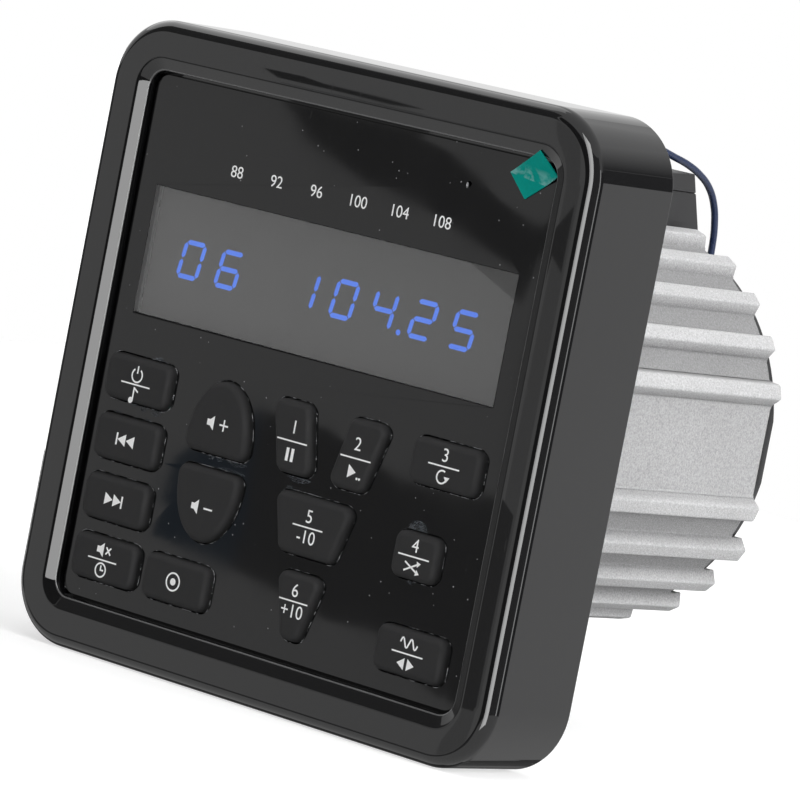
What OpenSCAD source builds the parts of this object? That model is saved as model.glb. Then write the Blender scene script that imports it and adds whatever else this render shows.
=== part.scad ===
// Marine stereo for a round dash hole: a square bezel with a display and push keys in front, and a
// ribbed round housing behind. The origin is the centre of the bezel's back, which seats on the dash.
// The face looks along -Y, +X is right and +Z is up. Sizes are in millimetres.

/* [Keys] */
// Width of a plain key
key_w = 15.2; // [13:0.1:18]
// Height of a plain key
key_h = 7.9; // [7:0.1:10]
// Gap between the rows of plain keys
row_gap = 2.6; // [2:0.1:4]
// How far the keys stand out of the panel
key_proud = 1.5; // [1.3:0.1:2.4]
// Radius of a key's front edges
key_edge = 1.2; // [0.4:0.1:1.2]
// Radius of a key's corners
key_corner = 1.8; // [1.25:0.05:1.9]
// Gap between a key and its hole in the panel
key_gap = 0.25; // [0.15:0.05:0.4]
// How far a key's lip reaches out behind the panel
key_lip = 0.65; // [0.5:0.05:0.8]
// Thickness of a key's lip
lip_thick = 1.0; // [0.6:0.1:1.6]
// How far a key can be pushed in
key_travel = 1.0; // [0.5:0.1:1.6]
// Radius of the plunger under a key
plunger_r = 1.8; // [1.2:0.1:2.2]
// Width of the two volume keys
vol_w = 14.4; // [12:0.1:18]
// Gap between the two volume keys
vol_gap = 2.4; // [2:0.1:4]
// How far the volume pair ends short of the third row's foot, on each key
vol_short = 0.55; // [0:0.05:2]
// Width of the preset fan at its top
fan_w = 26.6; // [22:0.1:32]
// Width of the preset fan at its foot
fan_tip_w = 4; // [3.6:0.1:8]
// Height of the fan's top row
fan_top_h = 12.2; // [10:0.1:13]
// Height of the fan's middle key
fan_mid_h = 10.2; // [8:0.1:12]
// Gap between the rows of the fan
fan_gap = 2.7; // [2:0.1:4]
// Gap between the fan's two top keys, at their top
slit_top_w = 9.2; // [7:0.1:11]
// Gap between the fan's two top keys, at their foot
slit_foot_w = 3.4; // [2.4:0.1:5]
// Width of the short key on the right
short_key_w = 10; // [8:0.1:13]

/* [Layout of the panel] */
// Gap between the left keys and the volume keys
vol_side_gap = 5.4; // [2:0.1:7]
// Gap between the left keys and the select key
select_gap = 1.8; // [1.8:0.1:4]
// Gap between the volume keys and the fan
fan_side_gap = 3.7; // [2:0.1:6]
// Gap between the fan and the right keys
right_side_gap = 5.5; // [2:0.1:8]
// Margin from the left keys to the panel's left side
left_margin = 1.9; // [1.8:0.05:6]
// Margin from the right keys to the panel's right side
right_margin = 3.4; // [2.3:0.05:6]
// Margin from the lowest keys to the panel's foot
foot_margin = 3.5; // [2.3:0.1:8]
// Gap between the display window and the keys
window_foot_gap = 7.35; // [6:0.05:12]
// Height of the plain band over the display window
top_band = 18.85; // [14:0.05:26]
// Width of the display window
window_w = 82.6; // [70:0.1:90]
// Height of the display window
window_h = 22.2; // [18:0.1:28]
// Distance of the microphone hole from the panel's right side
mic_from_side = 18.4; // [10:0.1:24]
// Distance of the microphone hole from the panel's top
mic_from_top = 6.4; // [5:0.1:8]
// Radius of the microphone hole
mic_hole_r = 0.5; // [0.3:0.05:0.9]

/* [Bezel and panel] */
// Thickness of the front panel
panel_thick = 2.0; // [1.5:0.1:3]
// Corner radius of the front panel
panel_corner = 2.65; // [1.8:0.05:6]
// Width of the groove round the panel
groove_w = 0.55; // [0.4:0.05:3]
// Width of the slope at the top of the recess wall
recess_lean = 2.2; // [0.4:0.05:3]
// How far that slope drops
recess_drop = 0.85; // [0.3:0.05:1.1]
// Depth of the recess, rim to panel
recess_depth = 2.2; // [1.2:0.1:3.2]
// Width of the rim from the recess to the bezel's side
rim_w = 6.6; // [5.5:0.1:9]
// Radius of the bezel's front edge
front_edge = 2.2; // [1:0.1:2.6]
// Thickness of the bezel's side walls
bezel_wall = 3; // [2:0.1:4]
// Thickness of the clear display lens
lens_thick = 0.8; // [0.5:0.1:1.2]

/* [Inside the bezel] */
// Thickness of the key mat
mat_thick = 1.5; // [1:0.1:2]
// Thickness of the circuit boards
board_thick = 1.6; // [1:0.1:2]
// Room behind the front board
board_room = 6.9; // [6.5:0.1:14]
// Thickness of the back plate
plate_thick = 2.5; // [2.2:0.1:4]
// Thickness of the dash gasket
gasket_thick = 1.5; // [1:0.1:3]
// Margin of the display glass outside the window
glass_margin = 1.4; // [1:0.1:2]
// Wall of the display frame
frame_wall = 0.8; // [0.5:0.1:1]
// Radius of the corner posts that carry the back plate
post_r = 4; // [3.4:0.1:5]

/* [Housing] */
// Length of the housing behind the dash seat
housing_len = 66.7; // [60:0.1:90]
// Radius of the housing between its ribs
root_r = 34.4; // [33:0.1:40]
// Height of the ribs
rib_h = 2.3; // [1:0.1:4]
// Width of a rib at its foot
rib_foot_w = 4.5; // [3:0.1:5]
// Width of a rib at its tip
rib_tip_w = 2.6; // [1.5:0.1:3]
// Angle from rib to rib
rib_step = 13.8; // [10:0.1:14]
// Depth of the four flat lands
land_depth = 0.95; // [0.4:0.05:1.4]
// Wall of the housing
housing_wall = 3; // [2.4:0.1:4]
// How far the lower ribs stand past the housing's rear
foot_rib_len = 3; // [2:0.1:6]
// Radius of the screw bosses in the housing
boss_r = 3.6; // [3:0.1:4.4]
// Thickness of the rear cover
cover_thick = 1.6; // [1.2:0.1:3]
// Depth of the main board's seat below the axis
board_drop = 14; // [12:0.1:15]

/* [Rear fittings] */
// Radius of the mounting studs
stud_r = 2; // [1.5:0.1:2.5]
// How far the studs stand out of the rear cover
stud_reach = 12; // [8:0.5:20]
// Width of the harness socket
socket_w = 24; // [18:0.5:28]
// Height of the harness socket
socket_h = 11; // [9:0.5:12]
// How far the harness socket stands out of the rear cover
socket_reach = 4; // [2:0.5:8]
// Outer radius of the aerial socket
aerial_r = 4.5; // [3.5:0.1:5]
// How far the aerial socket stands out of the rear cover
aerial_reach = 9; // [6:0.5:14]
// Diameter of the blue lead
lead_d = 1.3; // [1:0.1:1.4]

/* [Terminal box] */
// Width of the terminal box
box_w = 15; // [13:0.5:16]
// Height of the terminal box's base
box_base_h = 8; // [6:0.1:8.5]
// Thickness of the terminal box's lid at its front
box_lid_h = 2.2; // [1.6:0.1:2.6]
// Wall of the terminal box
box_wall = 1.4; // [1:0.1:2]

/* [Film tab] */
// Length of the film's pull tab
tab_l = 7.4; // [5:0.1:9]
// Width of the film's pull tab
tab_w = 5.4; // [4:0.1:7]
// Thickness of the film's pull tab
tab_thick = 0.3; // [0.2:0.05:0.6]

/* [Hidden] */
$fn = 64;

// Clearances that every fit shares
slip = 0.1;
part_gap = 0.5;
screw_slip = 0.05;
// Overlap that joins two forms of one piece, and how far a cutting form stands past the face it cuts
weld = 0.1;
past = 1;

// Layout of the panel, from the keys outwards
block_h = 4 * key_h + 3 * row_gap;
key_span = 2 * key_w + vol_side_gap + vol_w + fan_side_gap + fan_w + right_side_gap;
ledge_w = min(left_margin, right_margin) - key_lip - part_gap;
frame_side = glass_margin + frame_wall + slip;
panel_w = max(key_span + left_margin + right_margin, window_w + 2 * (frame_side + part_gap + ledge_w));
panel_h = top_band + window_h + window_foot_gap + block_h + foot_margin;
window_top = panel_h / 2 - top_band;
window_foot = window_top - window_h;
window_mid = (window_top + window_foot) / 2;
key_top = window_foot - window_foot_gap;
key_left = (left_margin - right_margin - key_span) / 2;
vol_x = key_left + key_w + vol_side_gap + vol_w / 2;
vol_h = (3 * key_h + 2 * row_gap - vol_gap) / 2 - vol_short;
fan_x = vol_x + vol_w / 2 + fan_side_gap + fan_w / 2;
right_left = fan_x + fan_w / 2 + right_side_gap;
mic_x = panel_w / 2 - mic_from_side;
mic_z = panel_h / 2 - mic_from_top;

// Outline of the bezel, from the panel outwards
recess_grow = groove_w + recess_lean;
rim_grow = recess_grow + rim_w;
bezel_w = panel_w + 2 * rim_grow;
bezel_h = panel_h + 2 * rim_grow;
bezel_corner = panel_corner + rim_grow;
cavity_w = bezel_w - 2 * bezel_wall;
cavity_h = bezel_h - 2 * bezel_wall;
cavity_corner = bezel_corner - bezel_wall;

// Planes from the dash seat forward
plate_back = -gasket_thick;
plate_front = plate_back - plate_thick;
board_back = plate_front - board_room;
board_front = board_back - board_thick;
mat_front = board_front - mat_thick;
pad_thick = 0.1;
lip_back = mat_front - key_travel - 2 * slip;
lip_front = lip_back - lip_thick;
panel_back = lip_front - slip;
panel_face = panel_back - panel_thick;
rim_face = panel_face - recess_depth;
key_face = panel_face - key_proud;
plunger_end = board_front - pad_thick - key_travel - slip;

// Fixings of the boards and plates
small_screw_r = 0.9;
small_pilot_r = small_screw_r + screw_slip;
small_hole_r = small_screw_r + slip;
small_head_r = 1.9;
small_head_h = 1.3;
small_bite = 3.2;
screw_r = 1.5;
pilot_r = screw_r + screw_slip;
hole_r = screw_r + slip;
head_r = 2.8;
head_h = 2.2;
head_sink = 1.5;
screw_bite = 7;
board_edge = part_gap + slip;
board_hole_x = cavity_w / 2 - board_edge - small_head_r - part_gap;
board_hole_z = cavity_h / 2 - board_edge - small_head_r - part_gap;
board_holes = [[board_hole_x, 0], [-board_hole_x, 0], [0, board_hole_z], [0, -board_hole_z]];
post_inset = post_r + part_gap;
post_x = cavity_w / 2 - post_inset;
post_z = cavity_h / 2 - post_inset;

// Housing
bore_r = root_r - housing_wall;
rib_r = root_r + rib_h;
land_r = root_r - land_depth;
boss_sink = 0.6;
boss_at = bore_r + boss_sink - boss_r;
boss_turns = [45, 135, 225, 315];
rib_turns = [for (middle = boss_turns, i = [-2:2]) middle + rib_step * i];
foot_rib_turns = [for (middle = [225, 315], i = [-1:1]) middle + rib_step * i];
plate_hole_r = boss_at - boss_r - 2 * part_gap;
cover_back = housing_len + cover_thick;
cover_r = root_r - part_gap;

// Main board and what stands on it
board_top = -board_drop + board_thick;
board_side_gap = 0.9;
board_rear_gap = 6.7;
board_half = sqrt(bore_r * bore_r - board_drop * board_drop) - board_side_gap;
board_y0 = 4;
board_y1 = housing_len - board_rear_gap;
rail_w = 4;
rail_h = 3;
rail_hole_x = board_half - rail_w / 2;
rail_hole_inset = 6;
rail_hole_y = [board_y0 + rail_hole_inset, board_y1 - rail_hole_inset];
header_w = 22;
header_h = 6;
header_depth = 5;
header_y = board_y0 + 1;
front_header_depth = 4;
ribbon_thick = 0.8;
ribbon_w = 18;
ribbon_z = board_top + header_h / 2;
pad_depth = 4.4;
pad_x = bore_r - pad_depth;
amp_y = 33;
amp_w = 17;
amp_thick = 4.5;
amp_lift = 3;
amp_foot = board_top + amp_lift;
amp_h = 16;
amp_mid = amp_foot + amp_h / 2;
clamp_thick = 1.2;
clamp_h = 5;
amp_screw_out = amp_w / 2 + 3;
amp_screw_y = [amp_y - amp_screw_out, amp_y + amp_screw_out];
clamp_reach = amp_screw_out + 3;
pad_reach = clamp_reach + 1;
spacer_r = 2;

// Rear fittings
socket_seat = 10;
socket_depth = 10;
socket_wall = 1.2;
socket_front = board_y1 - socket_seat;
socket_back = cover_back + socket_reach;
socket_floor = socket_back - socket_depth;
socket_foot = board_top;
aerial_wall = 1.2;
aerial_bore_r = aerial_r - aerial_wall;
aerial_flange_r = aerial_r + 1.6;
aerial_flange = 2;
aerial_nut_r = aerial_r + 1.8;
aerial_nut_h = 2;
aerial_at = [14, socket_foot + socket_h + aerial_nut_r + part_gap];
stud_root_len = 12;
stud_root_r = stud_r - 0.3;
stud_front = housing_len - stud_root_len;
stud_floor = 2;
grommet_z = 16;
grommet_r = 2.6;
grommet_flange_r = 3.6;
grommet_flange = 1.2;

// Terminal box on the upper land, with a raked rear
box_inboard = 22.7;
box_overhang = 4;
box_front = housing_len - box_inboard;
box_rear = housing_len + box_overhang;
box_rake = 0.41;
box_foot = land_r;
box_split = box_foot + box_base_h;
box_lid_rise = 1.2;
box_top_front = box_split + box_lid_h;
box_top_rear = box_top_front + box_lid_rise;
rear_split = box_rear - box_rake * box_base_h;
rear_top = rear_split - box_rake * (box_top_rear - box_split);
box_screw_y = [box_front + 5, box_front + 15];
gland_r = 1.7;
gland_h = 1.6;
gland_y = box_front + 6;
gland_top = box_top_front + gland_h;

// Route of the blue lead in the plane x = lead_x: straight out of the grommet, up and over the box, and
// down into the gland. Each bend is a distance past the housing's rear and a share of the lead's rise.
lead_x = 4;
lead_start = cover_back + grommet_flange;
lead_straight = 2;
lead_drop = 1.2;
lead_rise = gland_top - grommet_z;
lead_bends = [
    [8.1, 0.03], [10.7, 0.12], [12.2, 0.26], [12.7, 0.4], [12.7, 0.55], [12.2, 0.68], [10.8, 0.81],
    [8.4, 0.91], [5, 0.98], [1, 1.03], [-3.4, 1.065], [-7.8, 1.1], [-11.1, 1.125], [-13.4, 1.132],
    [-15.2, 1.115], [-16.4, 1.08]
];
lead_route = concat(
    [[lead_start, grommet_z], [lead_start + lead_straight, grommet_z]],
    [for (b = lead_bends) [housing_len + b[0], grommet_z + lead_rise * b[1]]],
    [[gland_y, gland_top + lead_drop], [gland_y, gland_top]]
);

// Keys: name, outline kind and the points or sizes of the outline
function row_top(i) = key_top - i * (key_h + row_gap);
function bar(x, z, w) = [[x, z - key_h], [x + w, z - key_h], [x + w, z], [x, z]];
function fan_half(drop) = (fan_w + (fan_tip_w - fan_w) * drop / block_h) / 2;
function slit_half(drop) = (slit_top_w + (slit_foot_w - slit_top_w) * drop / fan_top_h) / 2;
function fan_quad(drop0, drop1) = [
    [fan_x - fan_half(drop1), key_top - drop1], [fan_x + fan_half(drop1), key_top - drop1],
    [fan_x + fan_half(drop0), key_top - drop0], [fan_x - fan_half(drop0), key_top - drop0]
];
fan_left_quad = [
    [fan_x - fan_half(fan_top_h), key_top - fan_top_h], [fan_x - slit_half(fan_top_h), key_top - fan_top_h],
    [fan_x - slit_half(0), key_top], [fan_x - fan_half(0), key_top]
];
fan_right_quad = [
    [fan_x + slit_half(fan_top_h), key_top - fan_top_h], [fan_x + fan_half(fan_top_h), key_top - fan_top_h],
    [fan_x + fan_half(0), key_top], [fan_x + slit_half(0), key_top]
];
fan_mid = fan_top_h + fan_gap;
fan_low = fan_mid + fan_mid_h + fan_gap;
vol_up_flat = key_top - vol_h;
vol_down_flat = vol_up_flat - vol_gap;
KEYS = [
    ["key_power", "bar", bar(key_left, row_top(0), key_w)],
    ["key_previous", "bar", bar(key_left, row_top(1), key_w)],
    ["key_next", "bar", bar(key_left, row_top(2), key_w)],
    ["key_mute", "bar", bar(key_left, row_top(3), key_w)],
    ["key_select", "bar", bar(key_left + key_w + select_gap, row_top(3), key_w)],
    ["key_volume_up", "dome", [vol_up_flat, 1]],
    ["key_volume_down", "dome", [vol_down_flat, -1]],
    ["key_preset_1", "bar", fan_left_quad],
    ["key_preset_2", "bar", fan_right_quad],
    ["key_preset_3", "bar", bar(right_left, row_top(0), key_w)],
    ["key_preset_4", "bar", bar(right_left, key_top - (block_h - key_h) / 2, short_key_w)],
    ["key_preset_5", "bar", fan_quad(fan_mid, fan_mid + fan_mid_h)],
    ["key_preset_6", "bar", fan_quad(fan_low, block_h)],
    ["key_band", "bar", bar(right_left, row_top(3), key_w)]
];
corner_steps = 5;
dome_steps = 24;
edge_steps = 4;

// Outlines, counter-clockwise as seen from the front, drawn in by inset
function unit(v) = v / norm(v);
function outward(v) = [v[1], -v[0]];
function arc(centre, r, from, sweep, steps) =
    [for (i = [0:steps]) centre + r * [cos(from + sweep * i / steps), sin(from + sweep * i / steps)]];
function corner_centre(before, at, after) =
    let (a = unit(before - at), b = unit(after - at))
    at + unit(a + b) * key_corner / sin(acos(a * b) / 2);
function corner_arc(before, at, after, inset) =
    let (n0 = outward(unit(at - before)), n1 = outward(unit(after - at)), from = atan2(n0[1], n0[0]))
    arc(corner_centre(before, at, after), key_corner - inset, from,
        (atan2(n1[1], n1[0]) - from + 720) % 360, corner_steps);
function bar_ring(p, inset) =
    let (n = len(p))
    [for (i = [0:n - 1]) each corner_arc(p[(i + n - 1) % n], p[i], p[(i + 1) % n], inset)];
function dome_ring(inset) =
    let (r = key_corner, half = vol_w / 2)
    concat(
        arc([half - r, r], r - inset, -90, 90, corner_steps),
        [for (i = [1:dome_steps - 1])
            let (a = 180 * i / dome_steps) [(half - inset) * cos(a), r + (vol_h - r - inset) * sin(a)]],
        arc([r - half, r], r - inset, 180, 90, corner_steps)
    );
function placed_dome(place, inset) =
    let (ring = dome_ring(inset), n = len(ring))
    place[1] > 0
        ? [for (p = ring) [vol_x + p[0], place[0] + p[1]]]
        : [for (i = [0:n - 1]) [vol_x + ring[n - 1 - i][0], place[0] - ring[n - 1 - i][1]]];
function key_ring(k, inset) = k[1] == "bar" ? bar_ring(k[2], inset) : placed_dome(k[2], inset);
function sum(values, i = 0) = i < len(values) ? values[i] + sum(values, i + 1) : 0;
function key_middle(k) = let (ring = key_ring(k, 0)) [for (i = [0:1]) sum([for (p = ring) p[i]]) / len(ring)];

// Tools that the sub-parts share
module slab(front, back) {
    translate([0, back, 0]) rotate([90, 0, 0]) linear_extrude(back - front) children();
}
module across(x0, x1) {
    translate([x0, 0, 0]) rotate([90, 0, 90]) linear_extrude(x1 - x0) children();
}
module rod(front, back, r, at = [0, 0]) {
    translate([at[0], back, at[1]]) rotate([90, 0, 0]) cylinder(h = back - front, r = r);
}
module rounded(w, h, r) {
    square([w - 2 * r, h], center = true);
    square([w, h - 2 * r], center = true);
    for (x = [-1, 1], z = [-1, 1]) translate([x * (w / 2 - r), z * (h / 2 - r)]) circle(r);
}
module corners(x, z) {
    for (i = [-1, 1], j = [-1, 1]) translate([i * x, 0, j * z]) children();
}
module round_turns(turns, r) {
    for (a = turns) translate([r * cos(a), 0, r * sin(a)]) children();
}
module box_at(low, high) {
    translate(low) cube(high - low);
}
// Closed skin through rings of [x, y, z] points that run counter-clockwise from the front
module skin(rings) {
    n = len(rings[0]);
    m = len(rings);
    polyhedron(
        points = [for (ring = rings) each ring],
        faces = concat(
            [[for (i = [0:n - 1]) i]],
            [for (j = [0:m - 2], i = [0:n - 1]) each [
                [j * n + i, (j + 1) * n + i, (j + 1) * n + (i + 1) % n],
                [j * n + i, (j + 1) * n + (i + 1) % n, j * n + (i + 1) % n]
            ]],
            [[for (i = [n - 1:-1:0]) (m - 1) * n + i]]
        )
    );
}
// Screw along Y with its head towards -Y (away = -1) or +Y (away = 1), seated at y
module screw(y, away, at, r, bite, cap_r, cap_h) {
    if (away < 0) {
        rod(y - cap_h, y, cap_r, at);
        rod(y - weld, y + bite, r, at);
    } else {
        rod(y, y + cap_h, cap_r, at);
        rod(y - bite, y + weld, r, at);
    }
}
// Upright screw of the small size, its head seated at z
module small_screw(z, bite) {
    translate([0, 0, z]) cylinder(h = small_head_h, r = small_head_r);
    translate([0, 0, z - bite]) cylinder(h = bite + weld, r = small_screw_r);
}

// Front pieces
module rim_profile() {
    inner = panel_corner + groove_w;
    edge_x = bezel_corner - front_edge;
    edge_y = rim_face + front_edge;
    polygon([
        [inner, panel_back], [inner, rim_face + recess_drop], [panel_corner + recess_grow, rim_face],
        [edge_x, rim_face], [edge_x, edge_y], [bezel_corner, edge_y], [bezel_corner, panel_back]
    ]);
    translate([edge_x, edge_y]) circle(front_edge);
}
module rim_straight(length) {
    translate([0, 0, -length / 2]) linear_extrude(length) rim_profile();
}
module rim() {
    dx = bezel_w / 2 - bezel_corner;
    dz = bezel_h / 2 - bezel_corner;
    translate([dx, 0, 0]) rim_straight(2 * dz);
    translate([-dx, 0, 0]) mirror([1, 0, 0]) rim_straight(2 * dz);
    translate([0, 0, dz]) rotate([0, -90, 0]) rim_straight(2 * dx);
    translate([0, 0, -dz]) rotate([0, 90, 0]) rim_straight(2 * dx);
    for (i = [0:3]) {
        sx = (i == 0 || i == 3) ? 1 : -1;
        sz = i < 2 ? 1 : -1;
        translate([sx * dx, 0, sz * dz]) rotate([0, -90 * i, 0])
            rotate([90, 0, 0]) mirror([0, 0, 1]) rotate_extrude(angle = 90) rim_profile();
    }
}
module bezel() {
    ledge_corner = max(panel_corner - ledge_w, part_gap);
    color("#101010") difference() {
        union() {
            rim();
            slab(panel_back, board_front) difference() {
                rounded(bezel_w, bezel_h, bezel_corner);
                rounded(panel_w - 2 * ledge_w, panel_h - 2 * ledge_w, ledge_corner);
            }
            slab(board_front, 0) difference() {
                rounded(bezel_w, bezel_h, bezel_corner);
                rounded(cavity_w, cavity_h, cavity_corner);
            }
            corners(post_x, post_z) rod(board_front - weld, plate_front, post_r);
        }
        for (p = board_holes) rod(board_front - small_bite - slip, board_front + past, small_pilot_r, p);
        corners(post_x, post_z) rod(plate_front - screw_bite - slip, plate_front + past, pilot_r);
    }
}
module front_panel() {
    color("#1c1c1e") slab(panel_face, panel_back) difference() {
        rounded(panel_w, panel_h, panel_corner);
        translate([0, window_mid]) square([window_w, window_h], center = true);
        for (k = KEYS) polygon(key_ring(k, -key_gap));
        translate([mic_x, mic_z]) circle(mic_hole_r);
    }
}
module display_lens() {
    color("#6f7274", 0.5) slab(panel_face, panel_face + lens_thick) translate([0, window_mid])
        square([window_w - slip, window_h - slip], center = true);
}
module film_tab() {
    turn = 40;
    half_x = (tab_l * cos(turn) + tab_w * sin(turn)) / 2;
    half_z = (tab_l * sin(turn) + tab_w * cos(turn)) / 2;
    x = panel_w / 2 - half_x - slip;
    z = panel_h / 2 + groove_w - 2 * slip - half_z;
    color("#12a58c") slab(panel_face - tab_thick, panel_face) translate([x, z]) rotate(turn)
        square([tab_l, tab_w], center = true);
}
module key(name) {
    k = KEYS[search([name], KEYS)[0]];
    straight = [[0, (lip_front + lip_back) / 2], [0, key_face + key_edge]];
    bend = [for (i = [1:edge_steps])
        let (a = 90 * i / edge_steps) [key_edge * (1 - cos(a)), key_face + key_edge * (1 - sin(a))]];
    color("#222222") union() {
        skin([for (s = concat(straight, bend)) [for (p = key_ring(k, s[0])) [p[0], s[1], p[1]]]]);
        slab(lip_front, lip_back) polygon(key_ring(k, -key_lip));
        rod(lip_back - weld, plunger_end, plunger_r, key_middle(k));
    }
}

// Pieces inside the bezel
module key_mat() {
    low = -panel_h / 2 + ledge_w + part_gap;
    high = key_top + key_lip + part_gap;
    half = panel_w / 2 - ledge_w - part_gap;
    color("#3a3a3a") slab(mat_front, board_front) difference() {
        translate([-half, low]) square([2 * half, high - low]);
        for (k = KEYS) translate(key_middle(k)) circle(plunger_r + part_gap);
    }
}
module contact_pads() {
    color("#caa24a") for (k = KEYS) rod(board_front - pad_thick, board_front, plunger_r, key_middle(k));
}
module front_board() {
    color("#1f5a34") slab(board_front, board_back) difference() {
        rounded(cavity_w - 2 * board_edge, cavity_h - 2 * board_edge, cavity_corner - board_edge);
        for (i = [-1, 1], j = [-1, 1]) translate([i * post_x, j * post_z]) circle(post_r + part_gap);
        for (p = board_holes) translate(p) circle(small_hole_r);
    }
}
module front_board_screws() {
    color("silver") for (p = board_holes)
        screw(board_back, 1, p, small_screw_r, small_bite + board_thick, small_head_r, small_head_h);
}
frame_face = panel_back + slip;
frame_lip = 0.3;
glass_front = frame_face + frame_lip;
glass_share = 0.6;
glass_back = glass_front + glass_share * (board_front - glass_front);
module display_frame() {
    w = window_w + 2 * glass_margin + 2 * slip;
    h = window_h + 2 * glass_margin + 2 * slip;
    color("#8a8d90") translate([0, 0, window_mid]) difference() {
        slab(frame_face, board_front) square([w + 2 * frame_wall, h + 2 * frame_wall], center = true);
        slab(glass_front, board_front + past) square([w, h], center = true);
        slab(frame_face - past, glass_front + past)
            square([window_w + 2 * frame_lip, window_h + 2 * frame_lip], center = true);
    }
}
module display_sheet(front, back) {
    translate([0, 0, window_mid]) slab(front, back)
        square([window_w + 2 * glass_margin, window_h + 2 * glass_margin], center = true);
}
module display_glass() {
    color("#5f6264") display_sheet(glass_front, glass_back);
}
module backlight() {
    color("#dfe6ea") display_sheet(glass_back, board_front);
}
module microphone() {
    mic_r = 3;
    mic_h = 2.4;
    color("silver") rod(board_front - mic_h, board_front, mic_r, [mic_x, mic_z]);
}
module control_chip() {
    chip_w = 14;
    chip_h = 1.6;
    low = [-32, board_back, 8];
    color("#202020") box_at(low, low + [chip_w, chip_h, chip_w]);
}
module front_header() {
    color("#e8e4d8") box_at([-header_w / 2, board_back, ribbon_z - header_h / 2],
        [header_w / 2, board_back + front_header_depth, ribbon_z + header_h / 2]);
}
module back_plate() {
    color("#262626") difference() {
        slab(plate_front, plate_back) difference() {
            rounded(cavity_w - 2 * slip, cavity_h - 2 * slip, cavity_corner - slip);
            circle(plate_hole_r);
        }
        round_turns(boss_turns, boss_at) rod(plate_front - past, plate_back + past, hole_r);
        corners(post_x, post_z) {
            rod(plate_front - past, plate_back + past, hole_r);
            translate([0, plate_back, 0]) rotate([90, 0, 0])
                cylinder(h = head_sink, r1 = head_r + slip, r2 = hole_r);
        }
    }
}
module back_plate_screws() {
    color("silver") corners(post_x, post_z) {
        rod(plate_front - screw_bite, plate_back - head_sink + weld, screw_r);
        translate([0, plate_back, 0]) rotate([90, 0, 0]) cylinder(h = head_sink, r1 = head_r, r2 = screw_r);
    }
}
module dash_gasket() {
    color("#151515") slab(plate_back, 0) difference() {
        rounded(cavity_w - 2 * slip, cavity_h - 2 * slip, cavity_corner - slip);
        circle(rib_r + 2 * part_gap);
    }
}

// Housing and its covers
module rib(inner) {
    polygon([[inner, -rib_foot_w / 2], [root_r, -rib_foot_w / 2], [rib_r, -rib_tip_w / 2],
        [rib_r, rib_tip_w / 2], [root_r, rib_foot_w / 2], [inner, rib_foot_w / 2]]);
}
module housing_section() {
    difference() {
        union() {
            intersection() {
                circle(root_r);
                square(2 * land_r, center = true);
            }
            for (a = rib_turns) rotate(a) rib(bore_r + part_gap);
        }
        circle(bore_r);
    }
    for (a = boss_turns) rotate(a) translate([boss_at, 0]) circle(boss_r);
    for (s = [-1, 1]) intersection() {
        translate([s * board_half, -board_drop - rail_h / 2]) square([2 * rail_w, rail_h], center = true);
        circle(bore_r + part_gap);
    }
}
module housing() {
    color("#b9babb") difference() {
        union() {
            slab(plate_back, housing_len) housing_section();
            slab(housing_len - part_gap, housing_len + foot_rib_len) for (a = foot_rib_turns) rotate(a)
                rib(cover_r + 2 * slip);
            for (s = [-1, 1]) rod(stud_front, housing_len, boss_r, [0, s * boss_at]);
            slab(amp_y - pad_reach, amp_y + pad_reach) intersection() {
                translate([pad_x, amp_foot - 2 * part_gap]) square([bore_r, amp_h + 4 * part_gap]);
                circle(bore_r + part_gap);
            }
        }
        round_turns(boss_turns, boss_at) {
            rod(plate_back - past, plate_back + screw_bite + slip, pilot_r);
            rod(housing_len - screw_bite - slip, housing_len + past, pilot_r);
        }
        for (s = [-1, 1])
            rod(stud_front + stud_floor, housing_len + past, stud_root_r + screw_slip, [0, s * boss_at]);
        for (s = [-1, 1], y = rail_hole_y) translate([s * rail_hole_x, y, -board_drop - rail_h - past])
            cylinder(h = rail_h + 2 * past, r = small_pilot_r);
        for (y = amp_screw_y) translate([pad_x - past, y, amp_mid]) rotate([0, 90, 0])
            cylinder(h = past + small_bite + slip, r = small_pilot_r);
        for (y = box_screw_y) translate([0, y, bore_r - part_gap]) cylinder(h = root_r, r = small_pilot_r);
    }
}
module housing_screws() {
    color("silver") for (a = boss_turns)
        screw(plate_front, -1, boss_at * [cos(a), sin(a)], screw_r, screw_bite + plate_thick, head_r, head_h);
}
module rear_cover() {
    color("#161616") slab(housing_len, cover_back) difference() {
        intersection() {
            circle(cover_r);
            square(2 * land_r, center = true);
        }
        for (a = boss_turns) rotate(a) translate([boss_at, 0]) circle(hole_r);
        for (s = [-1, 1]) translate([0, s * boss_at]) circle(stud_root_r + slip);
        translate([0, socket_foot + socket_h / 2])
            square([socket_w + 2 * slip, socket_h + 2 * slip], center = true);
        translate(aerial_at) circle(aerial_r + slip);
        translate([lead_x, grommet_z]) circle(grommet_r + slip);
    }
}
module rear_cover_screws() {
    color("silver") for (a = boss_turns)
        screw(cover_back, 1, boss_at * [cos(a), sin(a)], screw_r, screw_bite + cover_thick, head_r, head_h);
}
module mounting_studs() {
    color("silver") for (s = [-1, 1]) {
        rod(stud_front + stud_floor + slip, cover_back + weld, stud_root_r, [0, s * boss_at]);
        rod(cover_back, cover_back + stud_reach, stud_r, [0, s * boss_at]);
    }
}

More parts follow.
